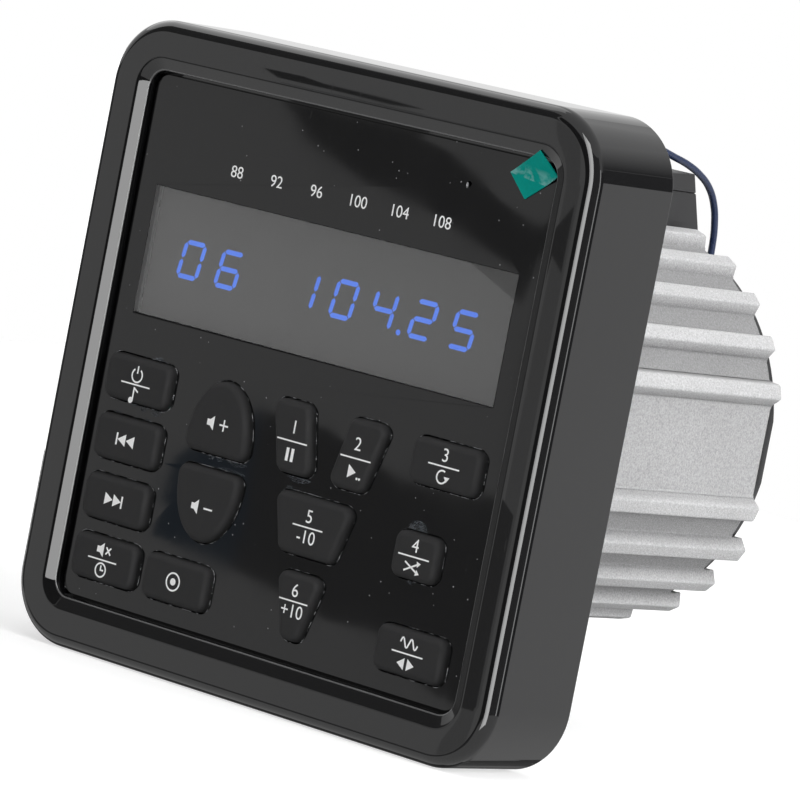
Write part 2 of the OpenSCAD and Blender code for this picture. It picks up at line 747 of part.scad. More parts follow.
// Pieces inside the housing
module main_board() {
    color("#1f5a34") difference() {
        box_at([-board_half, board_y0, -board_drop], [board_half, board_y1, board_top]);
        for (s = [-1, 1], y = rail_hole_y) translate([s * rail_hole_x, y, -board_drop - past])
            cylinder(h = board_thick + 2 * past, r = small_hole_r);
    }
}
module main_board_screws() {
    color("silver") for (s = [-1, 1], y = rail_hole_y) translate([s * rail_hole_x, y, 0])
        small_screw(board_top, rail_h + board_thick);
}
module amplifier_chip() {
    leg_pitch = 2.5;
    leg_w = 0.8;
    leg_thick = 0.6;
    face = pad_x - amp_thick;
    color("#202020") {
        box_at([face, amp_y - amp_w / 2, amp_foot], [pad_x, amp_y + amp_w / 2, amp_foot + amp_h]);
        for (i = [-2.5:2.5]) translate([face, amp_y + i * leg_pitch - leg_w / 2, board_top])
            cube([leg_thick, leg_w, amp_lift + weld]);
    }
}
module amplifier_clamp() {
    face = pad_x - amp_thick;
    color("#9a9da0") difference() {
        union() {
            box_at([face - clamp_thick, amp_y - clamp_reach, amp_mid - clamp_h / 2],
                [face, amp_y + clamp_reach, amp_mid + clamp_h / 2]);
            for (y = amp_screw_y) translate([face - weld, y, amp_mid]) rotate([0, 90, 0])
                cylinder(h = amp_thick + weld, r = spacer_r);
        }
        for (y = amp_screw_y) translate([face - clamp_thick - past, y, amp_mid]) rotate([0, 90, 0])
            cylinder(h = clamp_thick + amp_thick + 2 * past, r = small_hole_r);
    }
}
module amplifier_screws() {
    face = pad_x - amp_thick - clamp_thick;
    color("silver") for (y = amp_screw_y) translate([face, y, amp_mid]) rotate([0, -90, 0])
        small_screw(0, clamp_thick + amp_thick + small_bite);
}
module capacitors() {
    big_r = 5;
    big_h = 14;
    big_pitch = 12;
    small_r = 3.2;
    small_h = 9;
    small_pitch = 8;
    row_y = socket_front - big_r - 2 * part_gap;
    left_x = 8.2 - board_half;
    right_x = 13;
    color("#23304a") {
        for (i = [0, 1]) translate([left_x + i * big_pitch, row_y, board_top]) cylinder(h = big_h, r = big_r);
        for (y = [row_y, board_y0 + 11, board_y0 + 11 + small_pitch]) translate([right_x, y, board_top])
            cylinder(h = small_h, r = small_r);
    }
}
module tuner_can() {
    low = [3.2 - board_half, board_y0 + 10, board_top];
    size = [16, 15, 7];
    color("silver") box_at(low, low + size);
}
module radio_module() {
    low = [-4, board_y0 + 10, board_top];
    size = [13, 18, 2];
    color("#1d3f7a") box_at(low, low + size);
}
module main_header() {
    color("#e8e4d8") box_at([-header_w / 2, header_y, board_top],
        [header_w / 2, header_y + header_depth, board_top + header_h]);
}
module ribbon_cable() {
    color("#a9adb3") box_at([-ribbon_w / 2, board_back + front_header_depth, ribbon_z - ribbon_thick / 2],
        [ribbon_w / 2, header_y, ribbon_z + ribbon_thick / 2]);
}

// Rear fittings
module harness_socket() {
    color("#1a1a1a") difference() {
        box_at([-socket_w / 2, socket_front, socket_foot],
            [socket_w / 2, socket_back, socket_foot + socket_h]);
        box_at([-socket_w / 2 + socket_wall, socket_floor, socket_foot + socket_wall],
            [socket_w / 2 - socket_wall, socket_back + past, socket_foot + socket_h - socket_wall]);
    }
}
module harness_pins() {
    pitch = 3.2;
    row_out = 1.8;
    pin = 0.8;
    pin_len = 4;
    color("#caa24a") for (i = [-2.5:2.5], j = [-1, 1])
        translate([i * pitch - pin / 2, socket_floor, socket_foot + socket_h / 2 + j * row_out - pin / 2])
            cube([pin, pin_len, pin]);
}
module aerial_socket() {
    color("#b8b39a") difference() {
        union() {
            rod(housing_len - aerial_flange, cover_back + aerial_reach, aerial_r, aerial_at);
            rod(housing_len - aerial_flange, housing_len, aerial_flange_r, aerial_at);
        }
        rod(housing_len, cover_back + aerial_reach + past, aerial_bore_r, aerial_at);
    }
}
module aerial_nut() {
    color("silver") difference() {
        rod(cover_back, cover_back + aerial_nut_h, aerial_nut_r, aerial_at);
        rod(cover_back - past, cover_back + aerial_nut_h + past, aerial_r + slip, aerial_at);
    }
}
module lead_grommet() {
    color("#141414") {
        rod(housing_len - grommet_flange, cover_back + grommet_flange, grommet_r, [lead_x, grommet_z]);
        rod(housing_len - grommet_flange, housing_len, grommet_flange_r, [lead_x, grommet_z]);
        rod(cover_back, cover_back + grommet_flange, grommet_flange_r, [lead_x, grommet_z]);
    }
}
module blue_lead() {
    n = len(lead_route);
    sides = 8;
    rings = [for (i = [0:n - 1])
        let (t = unit(lead_route[min(i + 1, n - 1)] - lead_route[max(i - 1, 0)]))
        [for (s = [0:sides - 1])
            let (a = 360 * s / sides, u = lead_d / 2 * cos(a), v = lead_d / 2 * sin(a))
            [lead_x + u, lead_route[i][0] - v * t[1], lead_route[i][1] + v * t[0]]]];
    color("#22304f") skin(rings);
}
module terminal_box() {
    color("#1b1b1b") difference() {
        across(-box_w / 2, box_w / 2) polygon([
            [box_front, box_foot], [box_rear, box_foot], [rear_split, box_split], [box_front, box_split]
        ]);
        box_at([-box_w / 2 + box_wall, box_front + box_wall, box_foot + box_wall],
            [box_w / 2 - box_wall, rear_split - box_wall, box_split + past]);
        for (y = box_screw_y) translate([0, y, box_foot - past])
            cylinder(h = box_wall + 2 * past, r = small_hole_r);
    }
}
module terminal_box_lid() {
    color("#1b1b1b") {
        across(-box_w / 2, box_w / 2)
            polygon([[box_front, box_split], [rear_split, box_split], [rear_top, box_top_rear],
                [box_front, box_top_front]]);
        translate([lead_x, gland_y, box_split + part_gap])
            cylinder(h = gland_top - box_split - part_gap, r = gland_r);
    }
}
module terminal_box_screws() {
    seat = box_foot + box_wall;
    color("silver") for (y = box_screw_y) translate([0, y, 0]) small_screw(seat, seat - bore_r - slip);
}
module terminal_strip() {
    wide = box_w - 2 * box_wall - 2 * part_gap;
    deep = 5;
    y = (box_screw_y[0] + box_screw_y[1] - deep) / 2;
    color("#d8d3c4")
        box_at([-wide / 2, y, box_foot + box_wall], [wide / 2, y + deep, box_split - 2 * part_gap]);
}

bezel();
front_panel();
display_lens();
film_tab();
for (k = KEYS) key(k[0]);
key_mat();
contact_pads();
front_board();
front_board_screws();
display_frame();
display_glass();
backlight();
microphone();
control_chip();
front_header();
back_plate();
back_plate_screws();
dash_gasket();
housing();
housing_screws();
main_board();
main_board_screws();
amplifier_chip();
amplifier_clamp();
amplifier_screws();
capacitors();
tuner_can();
radio_module();
main_header();
ribbon_cable();
harness_socket();
harness_pins();
aerial_socket();
aerial_nut();
rear_cover();
rear_cover_screws();
mounting_studs();
lead_grommet();
blue_lead();
terminal_box();
terminal_box_lid();
terminal_box_screws();
terminal_strip();
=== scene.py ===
"""Marine stereo: a dash radio with a square gloss black face on a ribbed round housing, over its CAD frame."""

from math import cos, pi, radians, sin, tan

import bmesh
import bpy
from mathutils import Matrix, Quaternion, Vector


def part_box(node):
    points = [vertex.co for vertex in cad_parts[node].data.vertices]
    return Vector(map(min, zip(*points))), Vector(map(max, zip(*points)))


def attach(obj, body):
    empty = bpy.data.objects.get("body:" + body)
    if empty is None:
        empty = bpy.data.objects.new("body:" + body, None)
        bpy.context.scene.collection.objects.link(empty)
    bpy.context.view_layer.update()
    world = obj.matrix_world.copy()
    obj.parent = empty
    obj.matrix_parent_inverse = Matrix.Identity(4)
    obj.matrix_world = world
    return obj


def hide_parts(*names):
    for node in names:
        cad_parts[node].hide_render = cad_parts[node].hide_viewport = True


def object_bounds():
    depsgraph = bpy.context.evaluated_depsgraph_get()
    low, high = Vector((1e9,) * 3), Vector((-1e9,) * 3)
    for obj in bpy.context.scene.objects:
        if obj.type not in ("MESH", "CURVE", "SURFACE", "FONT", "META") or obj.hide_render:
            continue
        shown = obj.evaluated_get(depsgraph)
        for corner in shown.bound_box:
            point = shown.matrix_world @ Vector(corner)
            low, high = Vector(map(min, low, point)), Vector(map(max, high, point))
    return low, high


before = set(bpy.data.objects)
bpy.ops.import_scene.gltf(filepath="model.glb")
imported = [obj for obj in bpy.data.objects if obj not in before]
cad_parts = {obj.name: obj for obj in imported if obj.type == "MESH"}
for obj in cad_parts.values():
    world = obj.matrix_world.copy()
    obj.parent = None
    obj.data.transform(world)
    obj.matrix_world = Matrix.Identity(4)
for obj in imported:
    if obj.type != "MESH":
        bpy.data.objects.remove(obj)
cad_box = [list(corner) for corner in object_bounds()]

# The viewpoint: a long lens to the right of the face and a little above it, rolled so that the
# face leans as it does in the photo.
mm = 0.001
lens_place = Vector((642.5, -753.6, 85.5)) * mm
lens_look = Vector((-0.6428, 0.7611, -0.0866))
lens_roll = radians(10.99)
lens_length, film_width = 263.3, 36
bpy.ops.object.camera_add(location=lens_place)
viewpoint = bpy.context.object
viewpoint.name = "viewpoint"
viewpoint.rotation_euler = (lens_look.to_track_quat("-Z", "Y") @ Quaternion((0, 0, 1), lens_roll)).to_euler()
viewpoint.data.lens = lens_length
viewpoint.data.sensor_width = film_width
viewpoint.data.clip_start = 0.01
bpy.context.scene.camera = viewpoint

# The floor: a plain pale table top under the object. It keeps the object's shadow, and what looks at it
# sees it nearly as white as the room behind.
def node(tree, kind, inputs={}, **settings):
    """A shader node of that kind; an input given as a socket, or as a node with one result, is linked."""
    made = tree.nodes.new("ShaderNode" + kind)
    for name, value in settings.items():
        setattr(made, name, value)
    for name, value in inputs.items():
        if isinstance(value, (bpy.types.Node, bpy.types.NodeSocket)):
            tree.links.new(getattr(value, "outputs", [value])[0], made.inputs[name])
        else:
            made.inputs[name].default_value = value
    return made


def seen_straight(tree):
    """1 where a ray comes from the camera, a reflection or through glass, 0 where it carries diffuse light."""
    path = node(tree, "LightPath")
    either = node(tree, "Math", {0: path.outputs["Is Camera Ray"], 1: path.outputs["Is Glossy Ray"]},
                  operation="MAXIMUM")
    return node(tree, "Math", {0: either, 1: path.outputs["Is Transmission Ray"]},
                operation="MAXIMUM").outputs[0]


def paint(name, **sockets):
    """A new material whose shader has the named plain sockets set, its node tree and its shader."""
    material = bpy.data.materials.new(name)
    material.use_nodes = True
    shader = material.node_tree.nodes["Principled BSDF"]
    for socket, value in sockets.items():
        shader.inputs[socket.replace("_", " ")].default_value = value
    return material, material.node_tree, shader


floor_side, floor_gap, floor_glow = 0.9, 0.05, 0.6
floor_white = (0.55, 0.55, 0.55, 1)
bpy.ops.object.select_all(action="DESELECT")
bpy.ops.mesh.primitive_plane_add(size=floor_side, location=(0, 0, cad_box[0][2] - floor_gap * mm))
table_top = bpy.context.object
table_top.name = "table_top"
table_paint, tree, shader = paint("table_white", Base_Color=floor_white, Roughness=0.9, Specular_IOR_Level=0,
                                  Emission_Color=(1, 1, 1, 1))
tree.links.new(node(tree, "Math", {0: seen_straight(tree), 1: floor_glow}, operation="MULTIPLY").outputs[0],
               shader.inputs["Emission Strength"])
table_top.data.materials.append(table_paint)
table_top.visible_glossy = False

# The light: a white room, one wide soft lamp overhead and one to the right, and a few cards that stand
# where the gloss face mirrors them: lit ones give its bright lines, black ones its dark bands.
room = bpy.data.worlds.new("white_room")
bpy.context.scene.world = room
room.use_nodes = True
tree = room.node_tree
room_light = 0.42
strength = node(tree, "MapRange", {"Value": seen_straight(tree), "To Min": room_light, "To Max": 1.0})
tree.links.new(strength.outputs[0], tree.nodes["Background"].inputs["Strength"])
tree.nodes["Background"].inputs["Color"].default_value = (1, 1, 1, 1)


def direction(azimuth, elevation):
    """The way to a point in the room: azimuth from straight in front of the face towards its right."""
    a, e = radians(azimuth), radians(elevation)
    return Vector((sin(a) * cos(e), -cos(a) * cos(e), sin(e)))


def lamp(name, azimuth, elevation, side, power, distance=1.2):
    """A wide soft lamp that looks at the object and isn't mirrored as a shape."""
    away = direction(azimuth, elevation)
    bpy.ops.object.light_add(type="AREA", location=away * distance,
                             rotation=away.to_track_quat("Z", "Y").to_euler())
    soft = bpy.context.object
    soft.name = name
    soft.data.size = side
    soft.data.energy = power
    soft.visible_glossy = False


def hang(board, name, glow, fade="Y", tint=(1, 1, 1)):
    """Puts a card in the room that only reflections see; two values of glow fade it upwards (Y) or across (X)."""
    board.name = name
    surface, tree, shader = paint(name, Base_Color=(0, 0, 0, 1), Roughness=1, Specular_IOR_Level=0,
                                  Emission_Color=(*tint, 1))
    first, last = glow if isinstance(glow, tuple) else (glow, glow)
    share = node(tree, "SeparateXYZ", {0: node(tree, "TexCoord").outputs["UV"]}).outputs[fade]
    tree.links.new(node(tree, "MapRange", {"Value": share, "To Min": first, "To Max": last}).outputs[0],
                   shader.inputs["Emission Strength"])
    board.data.materials.append(surface)
    board.visible_camera = board.visible_diffuse = board.visible_shadow = board.visible_transmission = False


def card(name, azimuths, elevations, glow, fade="Y", distance=2.5):
    """A curved card, lit where glow is above 0 and black where it is 0."""
    bpy.ops.object.select_all(action="DESELECT")
    bpy.ops.mesh.primitive_grid_add(x_subdivisions=12, y_subdivisions=6, size=2)
    board = bpy.context.object
    for corner in board.data.vertices:
        across, up = (corner.co.x + 1) / 2, (corner.co.y + 1) / 2
        corner.co = distance * direction(azimuths[0] + (azimuths[1] - azimuths[0]) * across,
                                         elevations[0] + (elevations[1] - elevations[0]) * up)
    hang(board, name, glow, fade)


def mirrored_card(name, outline, glow, face_y, card_y=-1500, tint=(1, 1, 1)):
    """A flat card whose mirror image in the flat face at face_y has this outline (X, Z in millimetres)."""
    bpy.ops.object.select_all(action="DESELECT")
    bpy.ops.mesh.primitive_circle_add(vertices=len(outline), fill_type="NGON")
    board = bpy.context.object
    eye = Vector((lens_place.x, 2 * face_y * mm - lens_place.y, lens_place.z))
    for corner, (x, z) in zip(board.data.vertices, outline):
        on_face = Vector((x * mm, face_y * mm, z * mm))
        corner.co = eye + (on_face - eye) * ((card_y * mm - eye.y) / (on_face.y - eye.y))
    hang(board, name, glow, tint=tint)


lamp("overhead_lamp", 60, 70, 1.0, 6.8)
lamp("right_lamp", 96, 20, 0.8, 16)
card("main_card", (3.4, 16), (-24, 50), 7.3)
card("main_card_side", (16, 36), (-24, 50), 9.4)
card("main_flag", (-35, 3.2), (-14, 30), 0.1)
card("edge_flag", (36.5, 95), (-14, 40), 0.25)
card("line_card", (95.5, 104), (-14, 24), 4.5)
card("side_flag", (106, 133), (-14, 20), 0.1)
card("side_card", (134.5, 152), (-14, 6.2), 1.12)
card("corner_flag", (124, 160), (6.4, 19), 0.12)
card("rear_sky", (120, 205), (19.2, 37), (0.12, 1.05))
card("top_flag", (-62, -36), (3, 41), 0.2)
card("top_card", (-128, -63), (22, 66), 2.3)
card("left_edge_card", (-128, -96), (-14, 3), 6)
card("left_edge_flag", (-95, -58), (-14, 3), 0.22)
card("pale_back", (-170, -129), (-6, 14), 0.88)
card("foot_flag", (-62, -20), (-22, -13), 0.3)
card("foot_card", (-100, 10), (-85, -23), 1.0)
card("foot_back", (-172, -100), (-70, -6.5), 0.12)
card("under_card", (130, 224), (-60, -13.9), (1.28, 0.04), fade="X")
card("under_back", (190, 245), (-13.8, 0), 0.1)
mirrored_card("slanting_flag", [(-17, 46.6), (-14.6, 44.7), (-9.5, 40.1), (1.3, 36.6), (11.1, 33.6), (18, 32),
                                (30.6, 26.8), (42.5, 22), (46, 31), (57, 29), (57, 40), (43, 35), (34.3, 37.8),
                                (28, 41), (22, 43.6), (15, 45), (16, 46.6)], 0.28, face_y=-18.3)
mirrored_card("rim_flag", [(-20.2, 51.8), (-16.6, 48.6), (-2.1, 48.5), (9.3, 47.9), (16.8, 49.2), (7.6, 50.3),
                           (-6.1, 50.7), (-11, 52)], 0.2, face_y=-20.5)
mirrored_card("blue_flag", [(-9.2, -5.7), (-25.4, -17.7), (-27.7, -31.8), (-12.7, -32.9), (-8, -33.4), (-8, -5.8)],
              0.27, face_y=-18.3, tint=(0.8, 1.05, 1.35))
mirrored_card("low_flag", [(-8, -5.8), (-8, -33.4), (2.5, -34.6), (14.6, -37), (26.2, -36.4), (41.7, -44),
                           (57, -44), (57, -11), (45, -9.5), (24.8, -11), (7.7, -6.1)], 0.28, face_y=-18.3)
mirrored_card("right_shade", [(47, -60), (60, -60), (60, 60), (47, 60)], 0.74, face_y=-20.5, card_y=-1600)

# The blue lead: a short piece of wire in dark blue plastic insulation, from the grommet in the rear cover
# up and over into the gland of the terminal box.
lead_x = 4
lead_d, lead_length = 1.3, 62.5
lead_route = [(69.5, 16), (71.5, 16), (74.8, 16.88), (77.4, 19.51), (78.9, 23.6), (79.4, 27.7), (79.4, 32.09),
              (78.9, 35.89), (77.5, 39.69), (75.1, 42.62), (71.7, 44.67), (67.7, 46.13), (63.3, 47.15),
              (58.9, 48.18), (55.6, 48.91), (53.3, 49.11), (51.5, 48.61), (50.3, 47.59), (50, 46.45), (50, 45.25)]


def on_piece(tree):
    """Where a point of the piece lies, in the piece's own frame."""
    return node(tree, "TexCoord").outputs["Object"]


def effect(name, inputs, outputs):
    """A new node group with float sockets, its input and output nodes and its Object coordinates."""
    group = bpy.data.node_groups.new(name, "ShaderNodeTree")
    for socket, value in inputs.items():
        group.interface.new_socket(socket, in_out="INPUT", socket_type="NodeSocketFloat").default_value = value
    for socket in outputs:
        group.interface.new_socket(socket, in_out="OUTPUT", socket_type="NodeSocketFloat")
    given, put = group.nodes.new("NodeGroupInput"), group.nodes.new("NodeGroupOutput")
    return group, given.outputs, put.inputs, on_piece(group)


def per_mm(group, size):
    """The texture scale that makes one cell as wide as a size in millimetres."""
    return node(group, "Math", {0: 1 / mm, 1: size}, operation="DIVIDE").outputs[0]


# Fine grain and slow drift of a surface, both 0 to 1 about 0.5.
grain_and_drift, given, put, place = effect("grain_and_drift", {"Grain Size": 0.2, "Drift Size": 6},
                                            ["Grain", "Drift"])
for size, name, detail in (("Grain Size", "Grain", 2), ("Drift Size", "Drift", 4)):
    noise = node(grain_and_drift, "TexNoise",
                 {"Vector": place, "Scale": per_mm(grain_and_drift, given[size]), "Detail": detail})
    grain_and_drift.links.new(noise.outputs["Fac"], put[name])


def grained(name, colour, roughness, grain=0.2, drift=6.0, depth=0.1, shift=0.35, speckle=0.5, rough_shift=0.12,
            **sockets):
    """A surface whose colour and gloss drift a little over it and whose grain stands out as a fine relief."""
    material, tree, shader = paint(name, **sockets)
    surface = node(tree, "Group", {"Grain Size": grain, "Drift Size": drift}, node_tree=grain_and_drift)
    both = node(tree, "Mix", {0: speckle, 2: surface.outputs["Drift"], 3: surface.outputs["Grain"]})
    dark = [c * (1 - shift) for c in colour] + [1]
    pale = [min(1, c * (1 + shift)) for c in colour] + [1]
    tone = node(tree, "Mix", {0: both, 6: dark, 7: pale}, data_type="RGBA")
    gloss = node(tree, "MapRange", {"Value": surface.outputs["Drift"], "From Min": 0.25, "From Max": 0.75,
                                    "To Min": roughness - rough_shift, "To Max": roughness + rough_shift})
    relief = node(tree, "Bump", {"Height": surface.outputs["Grain"], "Strength": depth,
                                 "Distance": grain / 2 * mm})
    tree.links.new(tone.outputs[2], shader.inputs["Base Color"])
    tree.links.new(gloss.outputs[0], shader.inputs["Roughness"])
    tree.links.new(relief.outputs[0], shader.inputs["Normal"])
    return material


lead_line = bpy.data.curves.new("blue_lead_line", "CURVE")
lead_line.dimensions = "3D"
lead_line.bevel_depth = lead_d / 2 * mm
lead_line.bevel_resolution = 6
lead_line.resolution_u = 6
lead_line.use_fill_caps = True
spline = lead_line.splines.new("BEZIER")
spline.bezier_points.add(len(lead_route) - 1)
for point, (y, z) in zip(spline.bezier_points, lead_route):
    point.co = (lead_x * mm, y * mm, z * mm)
    point.handle_left_type = point.handle_right_type = "AUTO"
blue_wire = bpy.data.objects.new("blue_wire", lead_line)
bpy.context.collection.objects.link(blue_wire)
lead_line.materials.append(grained("blue_insulation", (0.012, 0.022, 0.06), 0.32, grain=0.3, drift=4, depth=0.05))
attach(blue_wire, "unit")
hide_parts("blue_lead")

# The housing: an aluminium die casting, a ribbed tube with four flat lands, blasted to a sandy silver grey.
# Its rib edges are a little round from the die. Painted shade darkens the valleys between the ribs, and the lands
# a little.
def only(piece):
    """Selects one piece and nothing else."""
    bpy.ops.object.select_all(action="DESELECT")
    piece.select_set(True)
    bpy.context.view_layer.objects.active = piece


def leave():
    """Leaves edit mode."""
    bpy.ops.object.mode_set(mode="OBJECT")


def modify(piece, kind, **settings):
    """Adds a modifier with these settings to the one selected piece and applies it."""
    bpy.ops.object.modifier_add(type=kind)
    for name, value in settings.items():
        setattr(piece.modifiers[-1], name, value)
    bpy.ops.object.modifier_apply(modifier=piece.modifiers[-1].name)


def dressed_copy(name, edge=0.0, steps=2, sharp=30, flat=0.5):
    """A CAD node's mesh as a new piece: its triangles merged into whole faces, its edges rounded."""
    piece = bpy.data.objects.new(name + "_finished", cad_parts[name].data.copy())
    bpy.context.collection.objects.link(piece)
    only(piece)
    bpy.ops.mesh.customdata_custom_splitnormals_clear()
    bpy.ops.object.mode_set(mode="EDIT")
    bpy.ops.mesh.select_all(action="SELECT")
    bpy.ops.mesh.remove_doubles(threshold=0.001 * mm)
    bpy.ops.mesh.dissolve_limited(angle_limit=radians(flat))
    leave()
    if edge:
        modify(piece, "BEVEL", width=edge * mm, segments=steps, limit_method="ANGLE", angle_limit=radians(sharp),
               use_clamp_overlap=False, miter_outer="MITER_ARC")
    return piece


def smooth(piece, angle=40):
    """Smooth shading that keeps flat faces flat and edges above the angle sharp."""
    only(piece)
    bpy.ops.object.shade_smooth_by_angle(angle=radians(angle))
    modify(piece, "WEIGHTED_NORMAL", keep_sharp=True)


def coat(piece, material):
    """The material in place of whatever the piece wore before."""
    piece.data.materials.clear()
    piece.data.materials.append(material)


def fit(piece, material, body="unit", stands_for=None):
    """Gives a finished piece its material and its place on a body of the frame."""
    coat(piece, material)
    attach(piece, body)
    if stands_for:
        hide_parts(stands_for)


def colour_of(material):
    """A material's node tree, its shader's colour socket and what feeds that."""
    socket = material.node_tree.nodes["Principled BSDF"].inputs["Base Color"]
    return material.node_tree, socket, socket.links[0].from_socket


def shade_by(material, factor):
    """Multiplies a material's own colour by a value that varies over the piece."""
    tree, socket, own = colour_of(material)
    tone = node(tree, "VectorMath", {0: own, 1: factor}, operation="MULTIPLY")
    tree.links.new(tone.outputs[0], socket)


valley_r, tip_r, land_r = 34.0, 36.6, 33.2
valley_shade, land_shade = 0.45, 0.77
cast_metal = grained("blasted_casting", (0.46, 0.46, 0.465), 0.5, grain=0.3, drift=10, depth=0.7, shift=0.6,
                     speckle=0.88, Metallic=0.2)
tree = cast_metal.node_tree
# Painted shade: darkest in the valleys, full colour at the rib tips, the flat lands held a little darker.
across = node(tree, "VectorMath", {0: on_piece(tree), 1: (1, 0, 1)}, operation="MULTIPLY")
reach = node(tree, "VectorMath", {0: across}, operation="LENGTH").outputs["Value"]
valley_painted_shade = node(tree, "MapRange", {"Value": reach, "From Min": valley_r * mm, "From Max": tip_r * mm,
                                "To Min": valley_shade, "To Max": 1.0})
sides = node(tree, "SeparateXYZ", {0: node(tree, "VectorMath", {0: across}, operation="ABSOLUTE")})
wider = node(tree, "Math", {0: sides.outputs["X"], 1: sides.outputs["Z"]}, operation="MAXIMUM")
land = node(tree, "MapRange", {"Value": wider, "From Min": (land_r - 0.1) * mm, "From Max": land_r * mm,
                               "To Min": 0.0, "To Max": land_shade})
shade_by(cast_metal, node(tree, "Math", {0: valley_painted_shade, 1: land}, operation="MAXIMUM"))
housing = dressed_copy("housing", edge=0.35, steps=2)
smooth(housing)
fit(housing, cast_metal, stands_for="housing")

# The back of the unit: a black painted cover on the housing's end, the harness socket, the aerial socket with
# its nut, and the lead's rubber grommet. The four cover screws and the two studs follow below.
black_paint = grained("black_paint", (0.014, 0.014, 0.015), 0.42, grain=0.35, drift=12, depth=0.25)
nickel = grained("nickel_plate", (0.72, 0.69, 0.62), 0.22, grain=0.1, drift=2, depth=0.04, shift=0.08, Metallic=1)
socket_black = grained("socket_plastic", (0.02, 0.02, 0.021), 0.5, grain=0.15, drift=5, depth=0.15)
grommet_rubber = grained("grommet_rubber", (0.014, 0.014, 0.014), 0.7, grain=0.12, drift=3, depth=0.1)
for name, edge, material, slot in (("rear_cover", 0.3, black_paint, "cover"),
                                   ("harness_socket", 0.25, socket_black, "black_plastic"),
                                   ("aerial_socket", 0.15, nickel, "nickel"),
                                   ("aerial_nut", 0.15, nickel, "nickel"),
                                   ("lead_grommet", 0.3, grommet_rubber, "gasket")):
    piece = dressed_copy(name, edge=edge)
    smooth(piece)
    fit(piece, material, stands_for=name)

# The four cover screws: zinc plated steel, pan heads with a pressed cross recess. They hold the rear cover to
# the housing's end.
def begin(name, primitive, scale=(1, 1, 1), **spec):
    """Adds a primitive by itself at its size and place, and opens it in edit mode."""
    bpy.ops.object.select_all(action="DESELECT")
    getattr(bpy.ops.mesh, "primitive_" + primitive + "_add")(**spec)
    piece = bpy.context.object
    piece.name = name
    piece.scale = scale
    bpy.ops.object.transform_apply()
    bpy.ops.object.mode_set(mode="EDIT")
    return piece


def pick(kind, test):
    """In edit mode, selects the faces or edges that pass the test and nothing else."""
    bpy.ops.mesh.select_mode(type={"faces": "FACE", "edges": "EDGE"}[kind])
    bpy.ops.mesh.select_all(action="DESELECT")
    mesh = bpy.context.object.data
    work = bmesh.from_edit_mesh(mesh)
    for part in getattr(work, kind):
        if test(part):
            part.select_set(True)
    work.select_flush_mode()
    bmesh.update_edit_mesh(mesh)


def middle(part):
    """The middle of a face's or an edge's corners."""
    return sum((v.co for v in part.verts), Vector()) / len(part.verts)


def facing(axis, sign):
    """A test for faces that look straight along an axis."""
    return lambda face: face.normal[axis] * sign > 0.99


def draw_out(y=0, z=0):
    """In edit mode, extrudes what is selected along an axis."""
    bpy.ops.mesh.extrude_region_move(TRANSFORM_OT_translate={"value": (0, y, z)})


def join(name, pieces):
    """Several pieces as one."""
    only(pieces[0])
    for piece in pieces:
        piece.select_set(True)
    bpy.ops.object.join()
    pieces[0].name = name
    return pieces[0]


zinc = grained("zinc_plate", (0.62, 0.62, 0.6), 0.3, grain=0.12, drift=2, depth=0.05, shift=0.1, Metallic=1)
head_r, head_h, head_round, shank_r = 2.8, 2.2, 1.0, 1.5
recess_long, recess_narrow, recess_deep, recess_taper = 3.4, 0.75, 2.4, 0.6
low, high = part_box("rear_cover_screws")
seat_y = high.y - head_h * mm
screw_x = high.x - head_r * mm
screw = begin("cover_screw", "cylinder", vertices=40, radius=head_r * mm, depth=head_h * mm,
              location=(screw_x, seat_y + head_h / 2 * mm, screw_x), rotation=(pi / 2, 0, 0))
pick("edges", lambda e: middle(e).y > high.y - 0.1 * mm)
bpy.ops.mesh.bevel(offset=head_round * mm, segments=5)
pick("faces", facing(1, -1))
bpy.ops.mesh.inset(thickness=(head_r - shank_r) * mm)
draw_out(low.y - seat_y)
leave()
arms = []
for wide, tall in ((recess_long, recess_narrow), (recess_narrow, recess_long)):
    arm = begin("recess_arm", "cube", size=1, location=(screw_x, high.y, screw_x),
                scale=(wide * mm, recess_deep * mm, tall * mm))
    pick("faces", facing(1, -1))
    bpy.ops.transform.resize(value=(recess_taper if wide > tall else 1, 1, recess_taper if tall > wide else 1))
    leave()
    arms.append(arm)
for arm in arms:
    only(screw)
    modify(screw, "BOOLEAN", object=arm, operation="DIFFERENCE")
    bpy.data.objects.remove(arm)
screws = [screw]
for right, up in ((-1, 1), (-1, -1), (1, -1)):
    twin = screw.copy()
    twin.data = screw.data.copy()
    bpy.context.collection.objects.link(twin)
    twin.location = ((right - 1) * screw_x, 0, (up - 1) * screw_x)
    screws.append(twin)
screws = join("cover_screws", screws)
smooth(screws, angle=35)
fit(screws, zinc, stands_for="rear_cover_screws")

# The two mounting studs: zinc plated steel rods in the rear cover, cut with a thread where they stand out of it.
# A bracket behind the dash is pulled up on them with nuts.
stud_r, thread_depth, pitch, tip_chamfer = 2.0, 0.4, 0.7, 0.4


def face_out():
    """In edit mode, turns all faces outwards and leaves it."""
    bpy.ops.mesh.select_all(action="SELECT")
    bpy.ops.mesh.normals_make_consistent(inside=False)
    leave()


